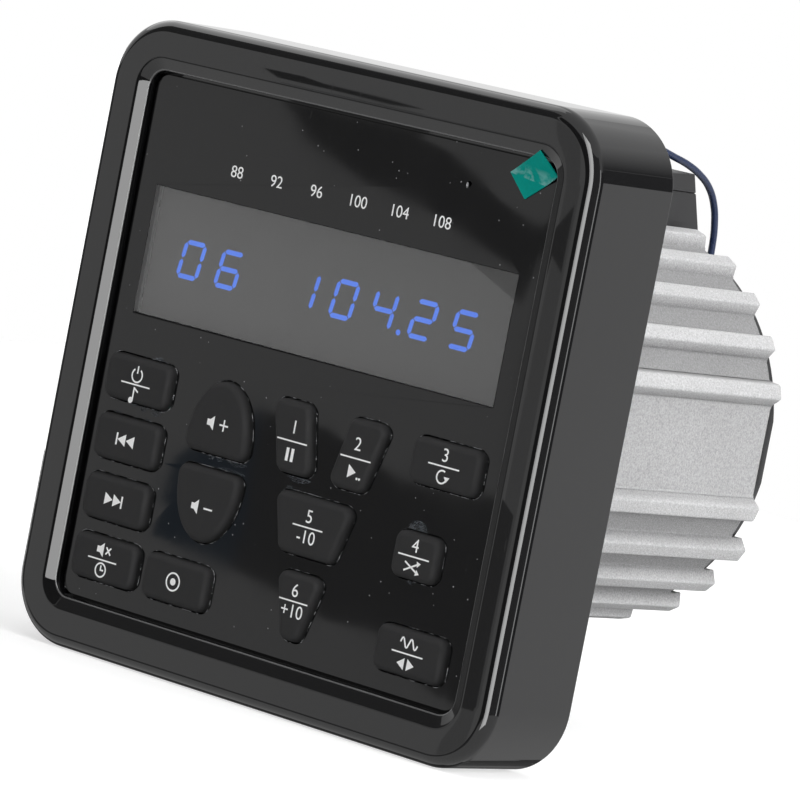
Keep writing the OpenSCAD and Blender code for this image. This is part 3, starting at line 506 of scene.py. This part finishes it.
low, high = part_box("mounting_studs")
cover_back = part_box("rear_cover")[1].y
turns = int((high.y - cover_back) / mm / pitch) - 1
studs = []
for side in (1, -1):
    stud_z = side * (high.z - stud_r * mm)
    core = begin("stud_core", "cylinder", vertices=32, radius=(stud_r - thread_depth) * mm, depth=high.y - low.y,
                 location=(0, (low.y + high.y) / 2, stud_z), rotation=(pi / 2, 0, 0))
    pick("edges", lambda e: middle(e).y > high.y - 0.1 * mm)
    bpy.ops.mesh.bevel(offset=tip_chamfer * mm, segments=2)
    leave()
    thread = begin("stud_thread", "circle", vertices=3, radius=1)
    leave()
    for corner, (r, up) in zip(thread.data.vertices, ((-thread_depth, 0), (0, 0.5), (-thread_depth, 1))):
        corner.co = ((stud_r + r) * mm, 0, up * pitch * mm)
    modify(thread, "SCREW", steps=28, render_steps=28, screw_offset=pitch * mm, iterations=turns)
    thread.rotation_euler = (-pi / 2, 0, 0)
    thread.location = (0, cover_back, stud_z)
    bpy.ops.object.transform_apply()
    studs += [core, thread]
studs = join("threaded_studs", studs)
bpy.ops.object.mode_set(mode="EDIT")
bpy.ops.mesh.select_all(action="SELECT")
bpy.ops.mesh.remove_doubles(threshold=0.002 * mm)
face_out()
smooth(studs, angle=30)
fit(studs, zinc, stands_for="mounting_studs")

# The terminal box on top of the housing: two black plastic mouldings with a split line between them, the lid
# held by screws.
box_black = grained("box_plastic", (0.018, 0.018, 0.019), 0.48, grain=0.2, drift=6, depth=0.2)
for name in ("terminal_box", "terminal_box_lid"):
    piece = dressed_copy(name, edge=0.3)
    smooth(piece)
    fit(piece, box_black, stands_for=name)

# The bezel: one injection moulding in gloss black plastic. A flat rim runs round a recess whose walls slope
# down to the panel, and its open back takes the board and, on four posts, the back plate.
# Dust lies on gloss faces as fine specks, and wiping leaves faint smears and hair scratches.
dust_and_smears, given, put, place = effect(
    "dust_and_smears", {"Speck Size": 0.12, "Speck Spacing": 2.5, "Share": 0.3}, ["Dust", "Smear", "Scratch"])
group = dust_and_smears
cells = node(group, "TexVoronoi", {"Vector": place, "Scale": per_mm(group, given["Speck Spacing"])})
edge = node(group, "Math", {0: given["Speck Size"], 1: given["Speck Spacing"]}, operation="DIVIDE")
speck = node(group, "Math", {0: cells.outputs["Distance"], 1: edge}, operation="LESS_THAN")
chosen = node(group, "Math", {0: node(group, "SeparateColor", {0: cells.outputs["Color"]}).outputs[0],
                              1: given["Share"]}, operation="LESS_THAN")
group.links.new(node(group, "Math", {0: speck, 1: chosen}, operation="MULTIPLY").outputs[0], put["Dust"])
group.links.new(node(group, "TexNoise", {"Vector": place, "Scale": per_mm(group, 16), "Detail": 3}).outputs["Fac"],
                put["Smear"])
turned = node(group, "Mapping", {"Vector": place, "Rotation": (0, radians(28), 0), "Scale": (12, 12, 1)})
hair = node(group, "TexNoise", {"Vector": turned, "Scale": per_mm(group, 5), "Detail": 1})
fine = node(group, "MapRange", {"Value": hair.outputs["Fac"], "From Min": 0.72, "From Max": 0.76})
group.links.new(fine.outputs[0], put["Scratch"])


def glossy(name, colour, roughness, spacing=2.5, share=0.3, **sockets):
    """A gloss surface with faint smears, hair scratches and specks of dust."""
    material, tree, shader = paint(name, **sockets)
    marks = node(tree, "Group", {"Speck Spacing": spacing, "Share": share}, node_tree=dust_and_smears)
    tone = node(tree, "Mix", {0: marks.outputs["Dust"], 6: list(colour) + [1], 7: (0.3, 0.3, 0.31, 1)},
                data_type="RGBA")
    wiped = node(tree, "MapRange", {"Value": marks.outputs["Smear"], "From Min": 0.3, "From Max": 0.7,
                                    "To Min": roughness * 0.6, "To Max": roughness * 1.6})
    worn = node(tree, "Math", {0: marks.outputs["Scratch"], 1: 0.05, 2: wiped}, operation="MULTIPLY_ADD")
    dusty = node(tree, "Math", {0: marks.outputs["Dust"], 1: 0.5, 2: worn}, operation="MULTIPLY_ADD")
    tree.links.new(tone.outputs[2], shader.inputs["Base Color"])
    tree.links.new(dusty.outputs[0], shader.inputs["Roughness"])
    return material


def lay_over(material, share, colour):
    """Lays another colour over a material's own by a share from 0 to 1."""
    tree, socket, own = colour_of(material)
    tree.links.new(node(tree, "Mix", {0: share, 6: own, 7: colour}, data_type="RGBA").outputs[2], socket)


def level(edge, y):
    """Whether an edge lies at a depth."""
    return abs(middle(edge).y - y) < 0.02 * mm


def between(edge, least, most):
    """Whether a face at the edge looks to the front by a share within two limits."""
    return any(least < -f.normal.y < most for f in edge.link_faces)


rim_w, recess_lean, recess_drop, groove_w, ledge_w = 6.6, 2.2, 1.0, 0.55, 0.75
wall, corner_r, front_r, post_r, post_inset = 3.0, 12.0, 2.2, 4.0, 7.5
lip_r, foot_r, back_r, foot_highlight_half = 0.3, 0.2, 0.3, 0.07
low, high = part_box("bezel")
panel_face, panel_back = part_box("front_panel")[0].y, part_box("front_panel")[1].y
board_front, plate_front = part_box("front_board")[0].y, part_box("back_plate")[0].y
bezel = begin("bezel_moulding", "cube", size=1, location=(low + high) / 2, scale=high - low)
pick("edges", lambda e: abs(e.verts[0].co.y - e.verts[1].co.y) > 1 * mm)
bpy.ops.mesh.bevel(offset=corner_r * mm, segments=24)
pick("faces", facing(1, -1))
bpy.ops.mesh.inset(thickness=rim_w * mm)
bpy.ops.mesh.inset(thickness=recess_lean * mm, depth=-recess_drop * mm)
draw_out(panel_back - low.y - recess_drop * mm)
bpy.ops.mesh.inset(thickness=(groove_w + ledge_w) * mm)
bpy.ops.mesh.delete(type="FACE")
pick("faces", facing(1, 1))
bpy.ops.mesh.inset(thickness=wall * mm)
draw_out(board_front - high.y)
bpy.ops.mesh.inset(thickness=(rim_w + recess_lean + groove_w + ledge_w - wall) * mm)
bpy.ops.mesh.delete(type="FACE")
pick("edges", lambda e: e.is_boundary)
bpy.ops.mesh.bridge_edge_loops()
pick("edges", lambda e: level(e, low.y) and between(e, -0.1, 0.1))
bpy.ops.mesh.bevel(offset=front_r * mm, segments=10)
pick("edges", lambda e: level(e, low.y) and between(e, 0.8, 0.98)
     and max(abs(middle(e).x), abs(middle(e).z)) < high.x - (rim_w - 0.1) * mm)
bpy.ops.mesh.bevel(offset=lip_r * mm, segments=4)
pick("edges", lambda e: level(e, low.y + recess_drop * mm) and between(e, 0.8, 0.98) and between(e, -0.1, 0.1))
bpy.ops.mesh.bevel(offset=foot_r * mm, segments=4)
pick("edges", lambda e: level(e, high.y))
bpy.ops.mesh.bevel(offset=back_r * mm, segments=2)
for right in (1, -1):
    for up in (1, -1):
        bpy.ops.mesh.primitive_cylinder_add(
            vertices=32, radius=post_r * mm, depth=plate_front - board_front, rotation=(pi / 2, 0, 0),
            location=(right * (high.x - post_inset * mm), (plate_front + board_front) / 2,
                      up * (high.z - post_inset * mm)))
leave()
smooth(bezel, angle=30)
gloss_black = glossy("gloss_black", (0.005, 0.005, 0.0055), 0.014, spacing=5, share=0.2, IOR=1.5)
# A fine paler line is painted along the slope's foot: a painted highlight where that rounded edge catches the
# light.
tree = gloss_black.node_tree
at = node(tree, "SeparateXYZ", {0: on_piece(tree)}).outputs
foot_painted_highlight = 1.0
for axis, centre, reach in (("Y", low.y + (recess_drop - foot_highlight_half) * mm, foot_highlight_half * mm),
                            ("X", 0.0, high.x - rim_w * mm), ("Z", 0.0, high.z - rim_w * mm)):
    near = node(tree, "Math", {0: at[axis], 1: centre, 2: reach}, operation="COMPARE")
    foot_painted_highlight = node(tree, "Math", {0: near, 1: foot_painted_highlight}, operation="MULTIPLY")
lay_over(gloss_black, foot_painted_highlight, (0.1, 0.1, 0.102, 1))
fit(bezel, gloss_black, stands_for="bezel")

# The front panel: a flat gloss black plate let into the recess, with the display window, the key holes and
# the pinhole of the microphone, under a clear film.
panel_black = glossy("panel_black", (0.005, 0.005, 0.0055), 0.03, spacing=1.9, share=0.45, IOR=1.4)
panel = dressed_copy("front_panel", edge=0.1, steps=2)
smooth(panel)
fit(panel, panel_black, stands_for="front_panel")
panel.data.materials.append(grained("window_wall_grey", (0.03, 0.03, 0.031), 0.6, grain=0.2, drift=5, depth=0.05))
window_low, window_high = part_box("display_lens")
for face in panel.data.polygons:
    beside = max(window_low.x - face.center.x, face.center.x - window_high.x, window_low.z - face.center.z,
                 face.center.z - window_high.z)
    if abs(face.normal.y) < 0.1 and beside < 0.3 * mm:
        face.material_index = 1

# The tuner scale: plain white numbers above the window, screen printed on the panel in ink that stands up a
# hair from it.
def printed(name, outlines, words, place, thick=0.02):
    """Flat ink on a face that looks to the front: filled outlines and words, in millimetres about the place."""
    inked = []
    for outline in outlines:
        bpy.ops.object.select_all(action="DESELECT")
        bpy.ops.mesh.primitive_circle_add(vertices=len(outline), fill_type="NGON")
        for corner, (x, z) in zip(bpy.context.object.data.vertices, outline):
            corner.co = (x * mm, z * mm, 0)
        inked.append(bpy.context.object)
    for word, size, x, z in words:
        bpy.ops.object.select_all(action="DESELECT")
        bpy.ops.object.text_add(location=(x * mm, z * mm, 0))
        letters = bpy.context.object
        letters.data.body = word
        letters.data.size = size * mm
        letters.data.align_x = letters.data.align_y = "CENTER"
        bpy.ops.object.convert(target="MESH")
        bpy.ops.object.transform_apply()
        inked.append(bpy.context.object)
    ink = join(name, inked)
    bpy.ops.object.mode_set(mode="EDIT")
    bpy.ops.mesh.select_all(action="SELECT")
    bpy.ops.mesh.normals_make_consistent(inside=False)
    draw_out(z=thick * mm)
    face_out()
    ink.rotation_euler = (pi / 2, 0, 0)
    ink.location = place
    bpy.ops.object.transform_apply()
    return ink


# The ink also glows a little: painted light that keeps the print bright white.
white_ink_painted_glow = grained("white_ink_painted_glow", (0.86, 0.86, 0.86), 0.5, grain=0.08, drift=1.5, depth=0.1, shift=0.05,
                    Emission_Color=(1, 1, 1, 1), Emission_Strength=0.12)
scale_size, scale_z, ink_gap = 2.9, 32, 0.005
scale_numbers = [("88", -23.6), ("92", -14.4), ("96", -5.2), ("100", 4.2), ("104", 13.6), ("108", 23.0)]
scale_print = printed("tuner_scale", [], [(word, scale_size, x, 0) for word, x in scale_numbers],
                      (0, panel_face - ink_gap * mm, scale_z * mm))
fit(scale_print, white_ink_painted_glow)

# The display: a clear lens in the window and behind it the grey segment display, which shows a preset's number
# and a plain frequency in lit blue bars.
display_grey = grained("display_grey", (0.057, 0.057, 0.057), 0.5, grain=2, drift=40, depth=0, shift=0.06,
                       speckle=0, Specular_IOR_Level=0)
tree = display_grey.node_tree
across = node(tree, "SeparateXYZ", {0: on_piece(tree)}).outputs["X"]
# Painted light and shade: the display's grey is lighter at the left and darker towards the right.
half_window, left_shade, right_shade = 41, 1.24, 0.78
shade_by(display_grey, node(tree, "MapRange", {
    "Value": across, "From Min": -half_window * mm, "From Max": half_window * mm, "To Min": left_shade,
    "To Max": right_shade}))
coat(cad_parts["display_glass"], display_grey)
clear_lens, tree, shader = paint("clear_lens", Base_Color=(1, 1, 1, 1), Roughness=0.0, IOR=1.5,
                                 Transmission_Weight=1)
path = node(tree, "LightPath")
passing = node(tree, "Math", {0: path.outputs["Is Shadow Ray"], 1: path.outputs["Is Diffuse Ray"]},
               operation="MAXIMUM")
mix = node(tree, "MixShader", {0: passing, 1: shader, 2: node(tree, "BsdfTransparent")})
tree.links.new(mix.outputs[0], tree.nodes["Material Output"].inputs["Surface"])
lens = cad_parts["display_lens"]
coat(lens, clear_lens)
lens.data.materials.append(grained("lens_edge_black", (0.01, 0.01, 0.01), 0.6, grain=0.2, drift=3))
for face in lens.data.polygons:
    face.material_index = 0 if abs(face.normal.y) > 0.5 else 1

cell_pitch, cell_first, cell_mid = 8.9, -32.0, 15.4
digit_half_w, digit_half_h, bar_w, slant = 2.6, 3.4, 0.85, tan(radians(9))
lit_bars = {"0": "abcdef", "1": "bc", "2": "abged", "4": "fgbc", "5": "afgcd", "6": "afgedc"}


def bar(a, b):
    """One pointed bar of a digit between two places, upright or level."""
    (ax, az), (bx, bz) = a, b
    half, gap = bar_w / 2, 0.1
    if az == bz:
        points = [(ax + gap, az), (ax + gap + half, az + half), (bx - gap - half, az + half), (bx - gap, az),
                  (bx - gap - half, az - half), (ax + gap + half, az - half)]
    else:
        points = [(ax, az + gap), (ax - half, az + gap + half), (ax - half, bz - gap - half), (ax, bz - gap),
                  (ax + half, bz - gap - half), (ax + half, az + gap + half)]
    return points


def digit(letter, x):
    """The lit bars of a digit round a cell's middle, leaning to the right."""
    w, h = digit_half_w - bar_w / 2, digit_half_h - bar_w / 2
    spots = {"a": ((-w, h), (w, h)), "b": ((w, 0), (w, h)), "c": ((w, -h), (w, 0)), "d": ((-w, -h), (w, -h)),
             "e": ((-w, -h), (-w, 0)), "f": ((-w, 0), (-w, h)), "g": ((-w, 0), (w, 0))}
    return [[(x + px + pz * slant, pz) for px, pz in bar(*spots[name])] for name in lit_bars[letter]]


shown = []
for cell, letter in enumerate("06 10425"):
    if letter != " ":
        shown += digit(letter, cell_first + cell_pitch * cell)
point_x, point_z, point_r = cell_first + cell_pitch * 5.5 - 0.4, -3.0, 0.5
shown.append([(point_x + point_r * cos(a * pi / 8), point_z + point_r * sin(a * pi / 8)) for a in range(16)])
glass_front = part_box("display_glass")[0].y
digits = printed("lit_digits", shown, [], (0, glass_front - ink_gap * mm, cell_mid * mm))
lit_blue, tree, shader = paint("lit_blue", Base_Color=(0, 0.01, 0.05, 1), Roughness=0.5, Specular_IOR_Level=0.1,
                               Emission_Strength=1)
glow = node(tree, "Group", {"Drift Size": 7}, node_tree=grain_and_drift)
tone = node(tree, "Mix", {0: glow.outputs["Drift"], 6: (0.025, 0.12, 0.66, 1), 7: (0.06, 0.19, 0.8, 1)},
            data_type="RGBA")
tree.links.new(tone.outputs[2], shader.inputs["Emission Color"])
fit(digits, lit_blue)

# The keys: fourteen caps moulded in soft black rubber with well rounded edges, each in its own hole of the
# panel on the web of the key mat.
key_names = [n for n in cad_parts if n.startswith("key_") and n != "key_mat"]
soft_rubber = grained("key_rubber", (0.0155, 0.0155, 0.016), 0.7, grain=0.12, drift=4, depth=0.2,
                      Specular_IOR_Level=0.18)
for name in key_names:
    cap = dressed_copy(name)
    smooth(cap)
    fit(cap, soft_rubber, body=name, stands_for=name)

# The key legends: plain numbers and common signs, pad printed in white ink on each cap, so they move with
# their keys. A rule parts the two functions of a key.
line_w, rule_w, sign_scale, word_size = 0.24, 0.26, 1.25, 3.2


def strip(a, b, width=line_w):
    """A straight line of ink from a to b."""
    along = (Vector(b) - Vector(a)).normalized() * width / 2
    side = Vector((-along.y, along.x))
    return [tuple(Vector(a) + side), tuple(Vector(b) + side), tuple(Vector(b) - side), tuple(Vector(a) - side)]


def ring(x, z, r, start, stop, width=line_w):
    """A round line of ink, from one angle to another."""
    turn = [radians(start + (stop - start) * i / 32) for i in range(33)]
    return ([(x + (r + width / 2) * cos(a), z + (r + width / 2) * sin(a)) for a in turn]
            + [(x + (r - width / 2) * cos(a), z + (r - width / 2) * sin(a)) for a in reversed(turn)])


def dot(x, z, r):
    """A round spot of ink."""
    return [(x + r * cos(a * pi / 12), z + r * sin(a * pi / 12)) for a in range(24)]


def flipped(outlines):
    """The same outlines mirrored left to right."""
    return [[(-x, z) for x, z in outline] for outline in outlines]


speaker = [(-1.3, -0.42), (-0.75, -0.42), (-0.05, -1.0), (-0.05, 1.0), (-0.75, 0.42), (-1.3, 0.42)]
skip_on = [[(-1.7, -0.85), (-1.7, 0.85), (-0.2, 0)], [(-0.1, -0.85), (-0.1, 0.85), (1.4, 0)],
           strip((1.55, -0.85), (1.55, 0.85), 0.3)]
softer = [[(x - 0.9, z) for x, z in speaker], strip((0.1, 0), (1.7, 0))]
signs = {
    "power": [ring(0, -0.1, 0.95, 125, 415), strip((0, 0.15), (0, 1.2))],
    "note": [dot(-0.42, -0.8, 0.42), strip((-0.1, -0.8), (-0.1, 1.05)), strip((-0.1, 0.95), (0.7, 0.45))],
    "skip_on": skip_on,
    "skip_back": flipped(skip_on),
    "muted": [speaker, strip((0.4, -0.5), (1.3, 0.5)), strip((0.4, 0.5), (1.3, -0.5))],
    "clock": [ring(0, 0, 0.95, 0, 360), strip((0, 0.65), (0, -0.1)), strip((-0.1, 0), (0.55, 0))],
    "choose": [ring(0, 0, 1.2, 0, 360), dot(0, 0, 0.5)],
    "louder": softer + [strip((0.9, -0.8), (0.9, 0.8))],
    "softer": softer,
    "pause": [strip((-0.45, -0.9), (-0.45, 0.9), 0.5), strip((0.45, -0.9), (0.45, 0.9), 0.5)],
    "sample": [[(-0.9, -0.9), (-0.9, 0.9), (0.5, 0)], dot(0.85, -0.75, 0.18), dot(1.3, -0.75, 0.18)],
    "again": [ring(0, 0, 0.85, 60, 345), [(0.35, 0.1), (1.35, 0.1), (0.85, -0.62)]],
    "mixed": [strip((-1.3, -0.6), (1.0, 0.6)), strip((-1.3, 0.6), (1.0, -0.6)),
              [(0.7, 0.95), (0.9, 0.15), (1.45, 0.72)], [(0.7, -0.95), (0.9, -0.15), (1.45, -0.72)]],
    "wave": [strip((-1.5 + 0.25 * i, 0.7 * sin(i * pi / 3)), (-1.25 + 0.25 * i, 0.7 * sin((i + 1) * pi / 3)))
             for i in range(12)],
    "seek": [[(-0.25, -0.8), (-0.25, 0.8), (-1.5, 0)], [(0.25, -0.8), (0.25, 0.8), (1.5, 0)]],
}
legends = {
    "key_power": ("power", "note"), "key_previous": ("skip_back",), "key_next": ("skip_on",),
    "key_mute": ("muted", "clock"), "key_select": ("choose",), "key_volume_up": ("louder",),
    "key_volume_down": ("softer",), "key_preset_1": ("1", "pause"), "key_preset_2": ("2", "sample"),
    "key_preset_3": ("3", "again"), "key_preset_4": ("4", "mixed"), "key_preset_5": ("5", "-10"),
    "key_preset_6": ("6", "+10"), "key_band": ("wave", "seek"),
}
rows_apart = {"key_preset_1": 2.3, "key_preset_2": 2.3}
moved = {"key_power": (0, -0.7), "key_preset_1": (0.5, -0.6), "key_preset_2": (0, -0.5), "key_preset_6": (0, 1.0),
         "key_volume_up": (0.4, -1.0), "key_volume_down": (0.4, -0.4)}
for name, lines in legends.items():
    low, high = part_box(name)
    apart = rows_apart.get(name, 1.75)
    right, lift = moved.get(name, (0, 0))
    line_half = min(3.4, (high.x - low.x) / mm * 0.3)
    outlines, words = [], []
    for line, up in zip(lines, (apart, -apart) if len(lines) == 2 else (0,)):
        if line in signs:
            outlines += [[(x * sign_scale, z * sign_scale + up) for x, z in outline] for outline in signs[line]]
        else:
            words.append((line, word_size, 0, up))
    if len(lines) == 2:
        outlines.append(strip((-line_half, 0), (line_half, 0), rule_w))
    legend = printed(name + "_legend", outlines, words,
                     ((low.x + high.x) / 2 + right * mm, low.y, (low.z + high.z) / 2 + lift * mm))
    fit(legend, white_ink_painted_glow, body=name)

# The film's pull tab: a green plastic flap, folded along a crease. Its lower corner lies on the panel, the rest
# stands off it and leans on the recess wall, and the raised half is pale in patches along the crease: partly
# scuffs, partly a painted highlight.
tab_y = panel_face - 0.12 * mm
tab_left, tab_top, tab_right, tab_low = (35.5, 42.7), (42.2, 47.3), (46.0, 43.7), (39.5, 38.9)
crease_share, tab_thick, lift_top, scuff_and_sheen_w = 0.6, 0.22, 1.8, 2.4
tab = begin("pull_tab", "plane", size=2)
leave()
for corner, (x, z) in zip(tab.data.vertices, (tab_left, tab_low, tab_top, tab_right)):
    corner.co = (x * mm, tab_y, z * mm)
bpy.ops.object.mode_set(mode="EDIT")
bpy.ops.mesh.select_all(action="SELECT")
bpy.ops.mesh.subdivide(number_cuts=9)
crease_from = Vector((tab_left[0], 0, tab_left[1]))
crease_to = Vector((tab_low[0] + (tab_right[0] - tab_low[0]) * crease_share, 0,
                    tab_low[1] + (tab_right[1] - tab_low[1]) * crease_share))
crease_side = Vector((crease_from.z - crease_to.z, 0, crease_to.x - crease_from.x)).normalized()
bpy.ops.mesh.select_all(action="SELECT")
bpy.ops.mesh.bisect(plane_co=crease_from * mm, plane_no=crease_side)
leave()
reach = (Vector((tab_top[0], 0, tab_top[1])) - crease_from).dot(crease_side)
for corner in tab.data.vertices:
    off = corner.co / mm - crease_from
    off.y = 0
    up = max(0, off.dot(crease_side)) / reach
    corner.co.y -= lift_top * mm * up * (0.75 + 0.25 * up)
modify(tab, "SOLIDIFY", thickness=tab_thick * mm, offset=0)
bpy.ops.object.mode_set(mode="EDIT")
face_out()
smooth(tab, angle=12)
tab_green = grained("tab_green", (0.0, 0.34, 0.285), 0.42, grain=0.5, drift=2.5, depth=0.1, shift=0.15,
                    Specular_IOR_Level=0.05)
tree = tab_green.node_tree
# Pale patches on the raised half beside the crease: part scuffing, part painted highlight.
place = on_piece(tree)
off = node(tree, "VectorMath", {0: place, 1: crease_from * mm}, operation="SUBTRACT")
apart = node(tree, "VectorMath", {0: off, 1: crease_side}, operation="DOT_PRODUCT").outputs["Value"]
near = node(tree, "MapRange", {"Value": apart, "From Min": 0.0, "From Max": scuff_and_sheen_w * mm, "To Min": 0.9,
                               "To Max": 0.0})
above = node(tree, "Math", {0: apart, 1: -0.05 * mm}, operation="GREATER_THAN")
scuff_and_sheen_noise = node(tree, "TexNoise", {"Vector": place, "Scale": 0.35 / mm, "Detail": 6, "Distortion": 1.2})
patchy = node(tree, "MapRange", {"Value": scuff_and_sheen_noise.outputs["Fac"], "From Min": 0.4, "From Max": 0.62})
mask = node(tree, "Math", {0: near, 1: patchy}, operation="MULTIPLY")
mask = node(tree, "Math", {0: mask, 1: above}, operation="MULTIPLY")
lay_over(tab_green, mask, (0.42, 0.72, 0.72, 1))
fit(tab, tab_green, stands_for="film_tab")

# Air under the clear film: flat bubbles that start at the edges of the key holes, where the film isn't pressed
# down.
# Their pale, half clear colour is a painted reflection of the light the air gaps throw back.
bubble_painted_reflection, tree, shader = paint("film_bubble", Base_Color=(0.34, 0.38, 0.43, 1), Roughness=0.3)
veil = node(tree, "Group", {"Drift Size": 3}, node_tree=grain_and_drift)
cover = node(tree, "MapRange", {"Value": veil.outputs["Drift"], "From Min": 0.3, "From Max": 0.7, "To Min": 0.16,
                                "To Max": 0.3})
tree.links.new(cover.outputs[0], shader.inputs["Alpha"])


def blister(name, x, z, half_w, height, half_h, kept, segments=28):
    """A flat bubble on the panel: a squashed ball of which only the given sides are kept."""
    piece = begin(name, "uv_sphere", segments=segments, ring_count=segments // 2, radius=1,
                  scale=(half_w * mm, height * mm, half_h * mm))
    for side in kept:
        bpy.ops.mesh.select_all(action="SELECT")
        bpy.ops.mesh.bisect(plane_co=(0, 0, 0), plane_no=side, clear_inner=True, use_fill=True)
    leave()
    piece.location = (x * mm, panel_face - 0.004 * mm, z * mm)
    bpy.ops.object.transform_apply()
    return piece


bubble_h = 0.06
bubble_spots = (
    (-36.9, -10.95, 0.5, 0.35, -1), (-34.6, -10.95, 0.95, 0.85, -1), (-31.6, -10.95, 1.3, 1.0, -1),
    (-33.0, -2.45, 1.1, 0.6, 1), (-40.4, -12.95, 0.6, 0.35, 1), (-33.2, -12.95, 0.55, 0.4, 1),
    (-17.2, -15.75, 0.75, 0.7, -1), (-15.2, -15.75, 0.75, 0.7, -1), (-11.2, -15.75, 2.3, 0.75, -1),
    (-12.2, -17.55, 3.2, 0.5, 1), (3.1, -15.25, 2.7, 0.9, -1), (1.4, -17.35, 0.8, 0.4, 1),
    (30.6, -18.2, 2.0, 1.6, 1), (31.2, -26.7, 0.7, 0.5, -1))
bubbles = [blister("bubble", x, z, half_w, bubble_h, half_h, ((0, 0, way), (0, -1, 0)))
           for x, z, half_w, half_h, way in bubble_spots]
bubbles = join("film_bubbles", bubbles)
smooth(bubbles, angle=50)
fit(bubbles, bubble_painted_reflection)

# A small bubble of the film at the microphone's pinhole, coloured pale as a painted glint. The film is pierced
# there and stands up a little.
glint = blister("pinhole_bubble", 26.9, 39, 0.27, 0.12, 0.5, ((0, -1, 0),), segments=20)
smooth(glint, angle=50)
fit(glint, grained("pinhole_painted_glint", (0.6, 0.61, 0.63), 0.3, grain=0.1, drift=0.5, depth=0.05))

# The film's cut edge: a thin line round each key hole, where the film is cut out for the keys, coloured pale as a
# painted highlight that the edge catches. It is broken where the film lies flat.
film_edge_r = 0.045
film_edge = dressed_copy("front_panel")
film_edge.name = "film_cut_edge"
bpy.ops.object.mode_set(mode="EDIT")
pick("edges", lambda e: abs(middle(e).y - panel_face) < 0.01 * mm and middle(e).z < -1 * mm
     and any(abs(f.normal.y) < 0.1 for f in e.link_faces) and max(abs(middle(e).x), abs(middle(e).z)) < 45 * mm)
bpy.ops.mesh.select_all(action="INVERT")
bpy.ops.mesh.delete(type="EDGE")
leave()
bpy.ops.object.convert(target="CURVE")
film_edge.data.bevel_depth = film_edge_r * mm
film_edge.data.bevel_resolution = 2
bpy.ops.object.convert(target="MESH")
cut_edge_painted_glint, tree, shader = paint("film_cut_painted_glint", Base_Color=(0.5, 0.51, 0.53, 1), Roughness=0.4)
breaks = node(tree, "TexNoise", {"Vector": on_piece(tree), "Scale": 0.9 / mm, "Detail": 3})
cover = node(tree, "MapRange", {"Value": breaks.outputs["Fac"], "From Min": 0.5, "From Max": 0.66, "To Max": 0.8})
tree.links.new(cover.outputs[0], shader.inputs["Alpha"])
fit(film_edge, cut_edge_painted_glint)

# The pieces inside and behind the face keep their CAD shape. First the boards: green and blue solder mask over
# copper traces, which show through as paler lines.
copper_traces, given, put, place = effect("copper_traces", {"Spacing": 2.2}, ["Trace"])
group = copper_traces
lanes = node(group, "TexVoronoi", {"Vector": place, "Scale": per_mm(group, given["Spacing"])}, feature="F2",
             distance="MANHATTAN")
stripes = node(group, "Math", {0: lanes.outputs["Distance"], 1: 5.0}, operation="MULTIPLY")
wrapped = node(group, "Math", {0: stripes}, operation="FRACT")
trace = node(group, "Math", {0: wrapped, 1: 0.35}, operation="LESS_THAN")
group.links.new(trace.outputs[0], put["Trace"])


def masked_board(name, colour):
    """Gloss solder mask over copper traces."""
    material = grained(name, colour, 0.3, grain=0.3, drift=8, depth=0.03, shift=0.1)
    traces = node(material.node_tree, "Group", {}, node_tree=copper_traces)
    lay_over(material, traces, [min(1, c * 1.7 + 0.01) for c in colour] + [1])
    return material


green_mask = masked_board("green_solder_mask", (0.02, 0.12, 0.045))
coat(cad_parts["front_board"], green_mask)
coat(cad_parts["main_board"], green_mask)
coat(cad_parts["radio_module"], masked_board("blue_solder_mask", (0.015, 0.045, 0.17)))

# The ribbon cable between the boards: flat grey plastic insulation with a line between each two wires, pressed
# onto a header at either end.
ribbon_grey = grained("ribbon_grey", (0.36, 0.38, 0.41), 0.45, grain=0.2, drift=5, depth=0.05)
tree = ribbon_grey.node_tree
wires = node(tree, "TexWave", {"Vector": on_piece(tree), "Scale": 0.25 / mm, "Distortion": 0.0}, wave_type="BANDS",
             bands_direction="X")
lines = node(tree, "MapRange", {"Value": wires.outputs["Fac"], "From Min": 0.1, "From Max": 0.35, "To Min": 0.55,
                                "To Max": 0.0})
lay_over(ribbon_grey, lines, (0.12, 0.13, 0.15, 1))
coat(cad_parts["ribbon_cable"], ribbon_grey)

# The other inner pieces: tinned cans, gold contacts, moulded packages, nylon headers, the silicone mat under the
# keys, the light guide of the display, screws, and the rubber gasket behind the bezel.
tin = grained("tinned_sheet", (0.66, 0.67, 0.68), 0.34, grain=0.25, drift=3, depth=0.06, shift=0.1, Metallic=1)
gold = grained("gold_flash", (0.78, 0.58, 0.25), 0.25, grain=0.1, drift=1, depth=0.03, shift=0.1, Metallic=1)
moulded_chip = grained("moulded_chip", (0.02, 0.02, 0.021), 0.6, grain=0.1, drift=3, depth=0.15)
nylon = grained("natural_nylon", (0.74, 0.7, 0.6), 0.5, grain=0.2, drift=4, depth=0.05, shift=0.08)
for material, names in (
        (tin, ("display_frame", "microphone", "tuner_can", "amplifier_clamp")),
        (gold, ("contact_pads", "harness_pins")),
        (moulded_chip, ("control_chip", "amplifier_chip")),
        (nylon, ("front_header", "main_header", "terminal_strip")),
        (zinc, ("front_board_screws", "back_plate_screws", "housing_screws", "main_board_screws",
                "amplifier_screws", "terminal_box_screws")),
        (box_black, ("back_plate",)),
        (grained("closed_cell_rubber", (0.014, 0.014, 0.014), 0.8, grain=0.5, drift=3, depth=0.6),
         ("dash_gasket",)),
        (grained("silicone_mat", (0.06, 0.06, 0.06), 0.6, grain=0.15, drift=5, depth=0.1), ("key_mat",)),
        (grained("milky_guide", (0.78, 0.82, 0.84), 0.4, grain=0.3, drift=8, depth=0.02, shift=0.06),
         ("backlight",)),
        (grained("can_sleeve", (0.03, 0.05, 0.1), 0.35, grain=0.2, drift=4, depth=0.05), ("capacitors",))):
    for name in names:
        coat(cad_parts[name], material)

bpy.context.scene.view_settings.view_transform = "Standard"
